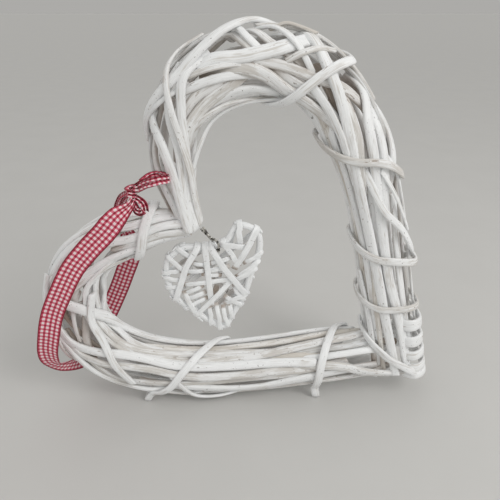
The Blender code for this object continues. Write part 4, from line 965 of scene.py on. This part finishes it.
# a woven band laid along points in mm; face is the way its width points, one way or one for each place along,
# and gather narrows it into pleats
def bandPiece(name, pointsMm, face, replaced, gather):
    line = evened(roundThrough(np.array(pointsMm) / 1000 + heart["centredBy"], False, 10), ribbon["step"], 6)
    runs = runAlong(line)
    rows = len(line)
    ahead = unit(np.gradient(line, axis=0))
    places, *parts = zip(*(face if len(face) > 3 else ((0, *face), (1, *face))))
    face = np.stack([np.interp(runs / runs[-1], places, part) for part in parts], 1)
    wide = unit(face - ahead * (ahead * face).sum(1)[:, None])
    out = np.cross(ahead, wide)
    narrow = np.interp(runs / runs[-1], *zip(*gather))
    (pleat, pleatTurn, sway, swayOften), (ripple, acrossOften, alongOften) = ribbon["pleats"], ribbon["ripple"]
    work = bmesh.new()
    made = bmesh.ops.create_grid(work, x_segments=rows - 1, y_segments=ribbon["across"], size=1.0)["verts"]
    uv = work.loops.layers.uv.new("cloth")
    flat = {}
    for corner in made:
        k = round((corner.co.x + 1) / 2 * (rows - 1))
        t = corner.co.y
        flat[corner] = (t * ribbon["wide"] / 2, runs[k])
        fold = ribbon["cup"] * (t * t - 0.4) * narrow[k]
        fold += (pleat * ribbon["wide"] * sqrt(max(0, 1 - narrow[k] ** 2))
                 * sin(t * pleatTurn + sway * roll3(runs[k] * swayOften, 3, 1)))
        fold += ripple * roll3(t * acrossOften, runs[k] * alongOften, 2.0)
        corner.co = line[k] + wide[k] * (t * narrow[k] * ribbon["wide"] / 2) + out[k] * fold
    for patch in work.faces:
        for loop in patch.loops:
            loop[uv].uv = flat[loop.vert]
    piece = finishPiece(name, work, gingham, replaced)
    skin = piece.modifiers.new("Thickness", "SOLIDIFY")
    skin.thickness = ribbon["thick"]
    skin.offset = 0.0
    return piece, runs[-1]


longLoop, longRun = bandPiece("ribbonLongLoop", ribbon["long"], ribbon["faces"], ("ribbon_long_loop",),
                              ((0, 0.25), (0.02, 0.45), (0.04, 0.85), (0.06, 1), (0.78, 1), (0.82, 0.6), (0.93, 0.4),
                               (1, 0.25)))
shortLoop, shortRun = bandPiece("ribbonShortLoop", ribbon["short"], (0.1, 0.0, 1.0), ("ribbon_short_loop",),
                                ((0, 0.38), (0.3, 0.45), (0.45, 0.42), (0.6, 0.3), (1, 0.25)))
tail, tailRun = bandPiece("ribbonTail", ribbon["tail"], (0.6, 0.0, 0.8), ("ribbon_tail",),
                          ((0, 0.25), (0.3, 0.34), (0.7, 0.32), (1, 0.2)))

# the knot is a tight turn or two round the rest
top, foot, broad, turns, bow, points = ribbon["knot"]
knotLine = [tuple(np.array(top) * (1 - share) + np.array(foot) * share
                  + (broad * cos(2 * pi * turns * share - 0.5 * pi) - bow * sin(pi * share),
                     broad * sin(2 * pi * turns * share - 0.5 * pi), 0)) for share in np.linspace(0, 1, points)]
knotPiece, knotRun = bandPiece("ribbonKnot", knotLine, (-0.3, 0.1, 1.0), ("ribbon_knot",),
                               ((0, 0.3), (0.5, 0.36), (1, 0.28)))
print("ribbon tied")

# the floor, light and camera
floorMesh = bpy.data.meshes.new("floor")
work = bmesh.new()
bmesh.ops.create_grid(work, x_segments=1, y_segments=1, size=60.0)
work.to_mesh(floorMesh)
work.free()
floor = placed("floor", floorMesh)
floorFinish, floorTree, floorShader = newFinish("paleFloor")
feed(floorTree, floorShader, {"Base Color": blended(floorTree, mottling(floorTree, 14.0, 4.0),
                                                    (0.56, 0.555, 0.54, 1), (0.60, 0.595, 0.58, 1)),
                              "Roughness": 0.6})
floorMesh.materials.append(floorFinish)

world = bpy.data.worlds.new("softRoom")
bpy.context.scene.world = world
world.use_nodes = True
air = world.node_tree
facing = addNode(air, "ShaderNodeTexCoord").outputs["Generated"]
upward = addNode(air, "ShaderNodeSeparateXYZ", {0: facing}).outputs[2]
# paler overhead; at the horizon it is as bright as the far floor
feed(air, air.nodes["Background"], {"Color": blended(air, graded(air, upward, 0.0, 0.3), (0.412, 0.406, 0.392, 1),
                                                     (0.66, 0.655, 0.64, 1)), "Strength": 1.0})


def softLight(name, place, aim, size, energy, colour):
    light = bpy.data.lights.new(name, "AREA")
    light.energy, light.size, light.color = energy, size, colour
    lamp = placed(name, light)
    lamp.location = place
    lamp.rotation_euler = (Vector(aim) - Vector(place)).to_track_quat("-Z", "Y").to_euler()


softLight("windowLight", (0.75, -0.75, 0.95), (0, 0, 0.12), 0.6, 6.5, (1.0, 0.99, 0.975))
softLight("fillLight", (-0.9, -0.7, 0.6), (0, 0, 0.1), 1.2, 0.8, (0.96, 0.98, 1.0))

camera = placed("camera", bpy.data.cameras.new("camera"))
camera.location = (-0.0106, -0.3258, 0.2832)
camera.rotation_euler = (radians(64.4), 0, -radians(2.9))
camera.data.lens, camera.data.sensor_width = 36, 36
bpy.context.scene.camera = camera
bpy.context.scene.view_settings.view_transform = "Standard"
print("floor, light and camera set")
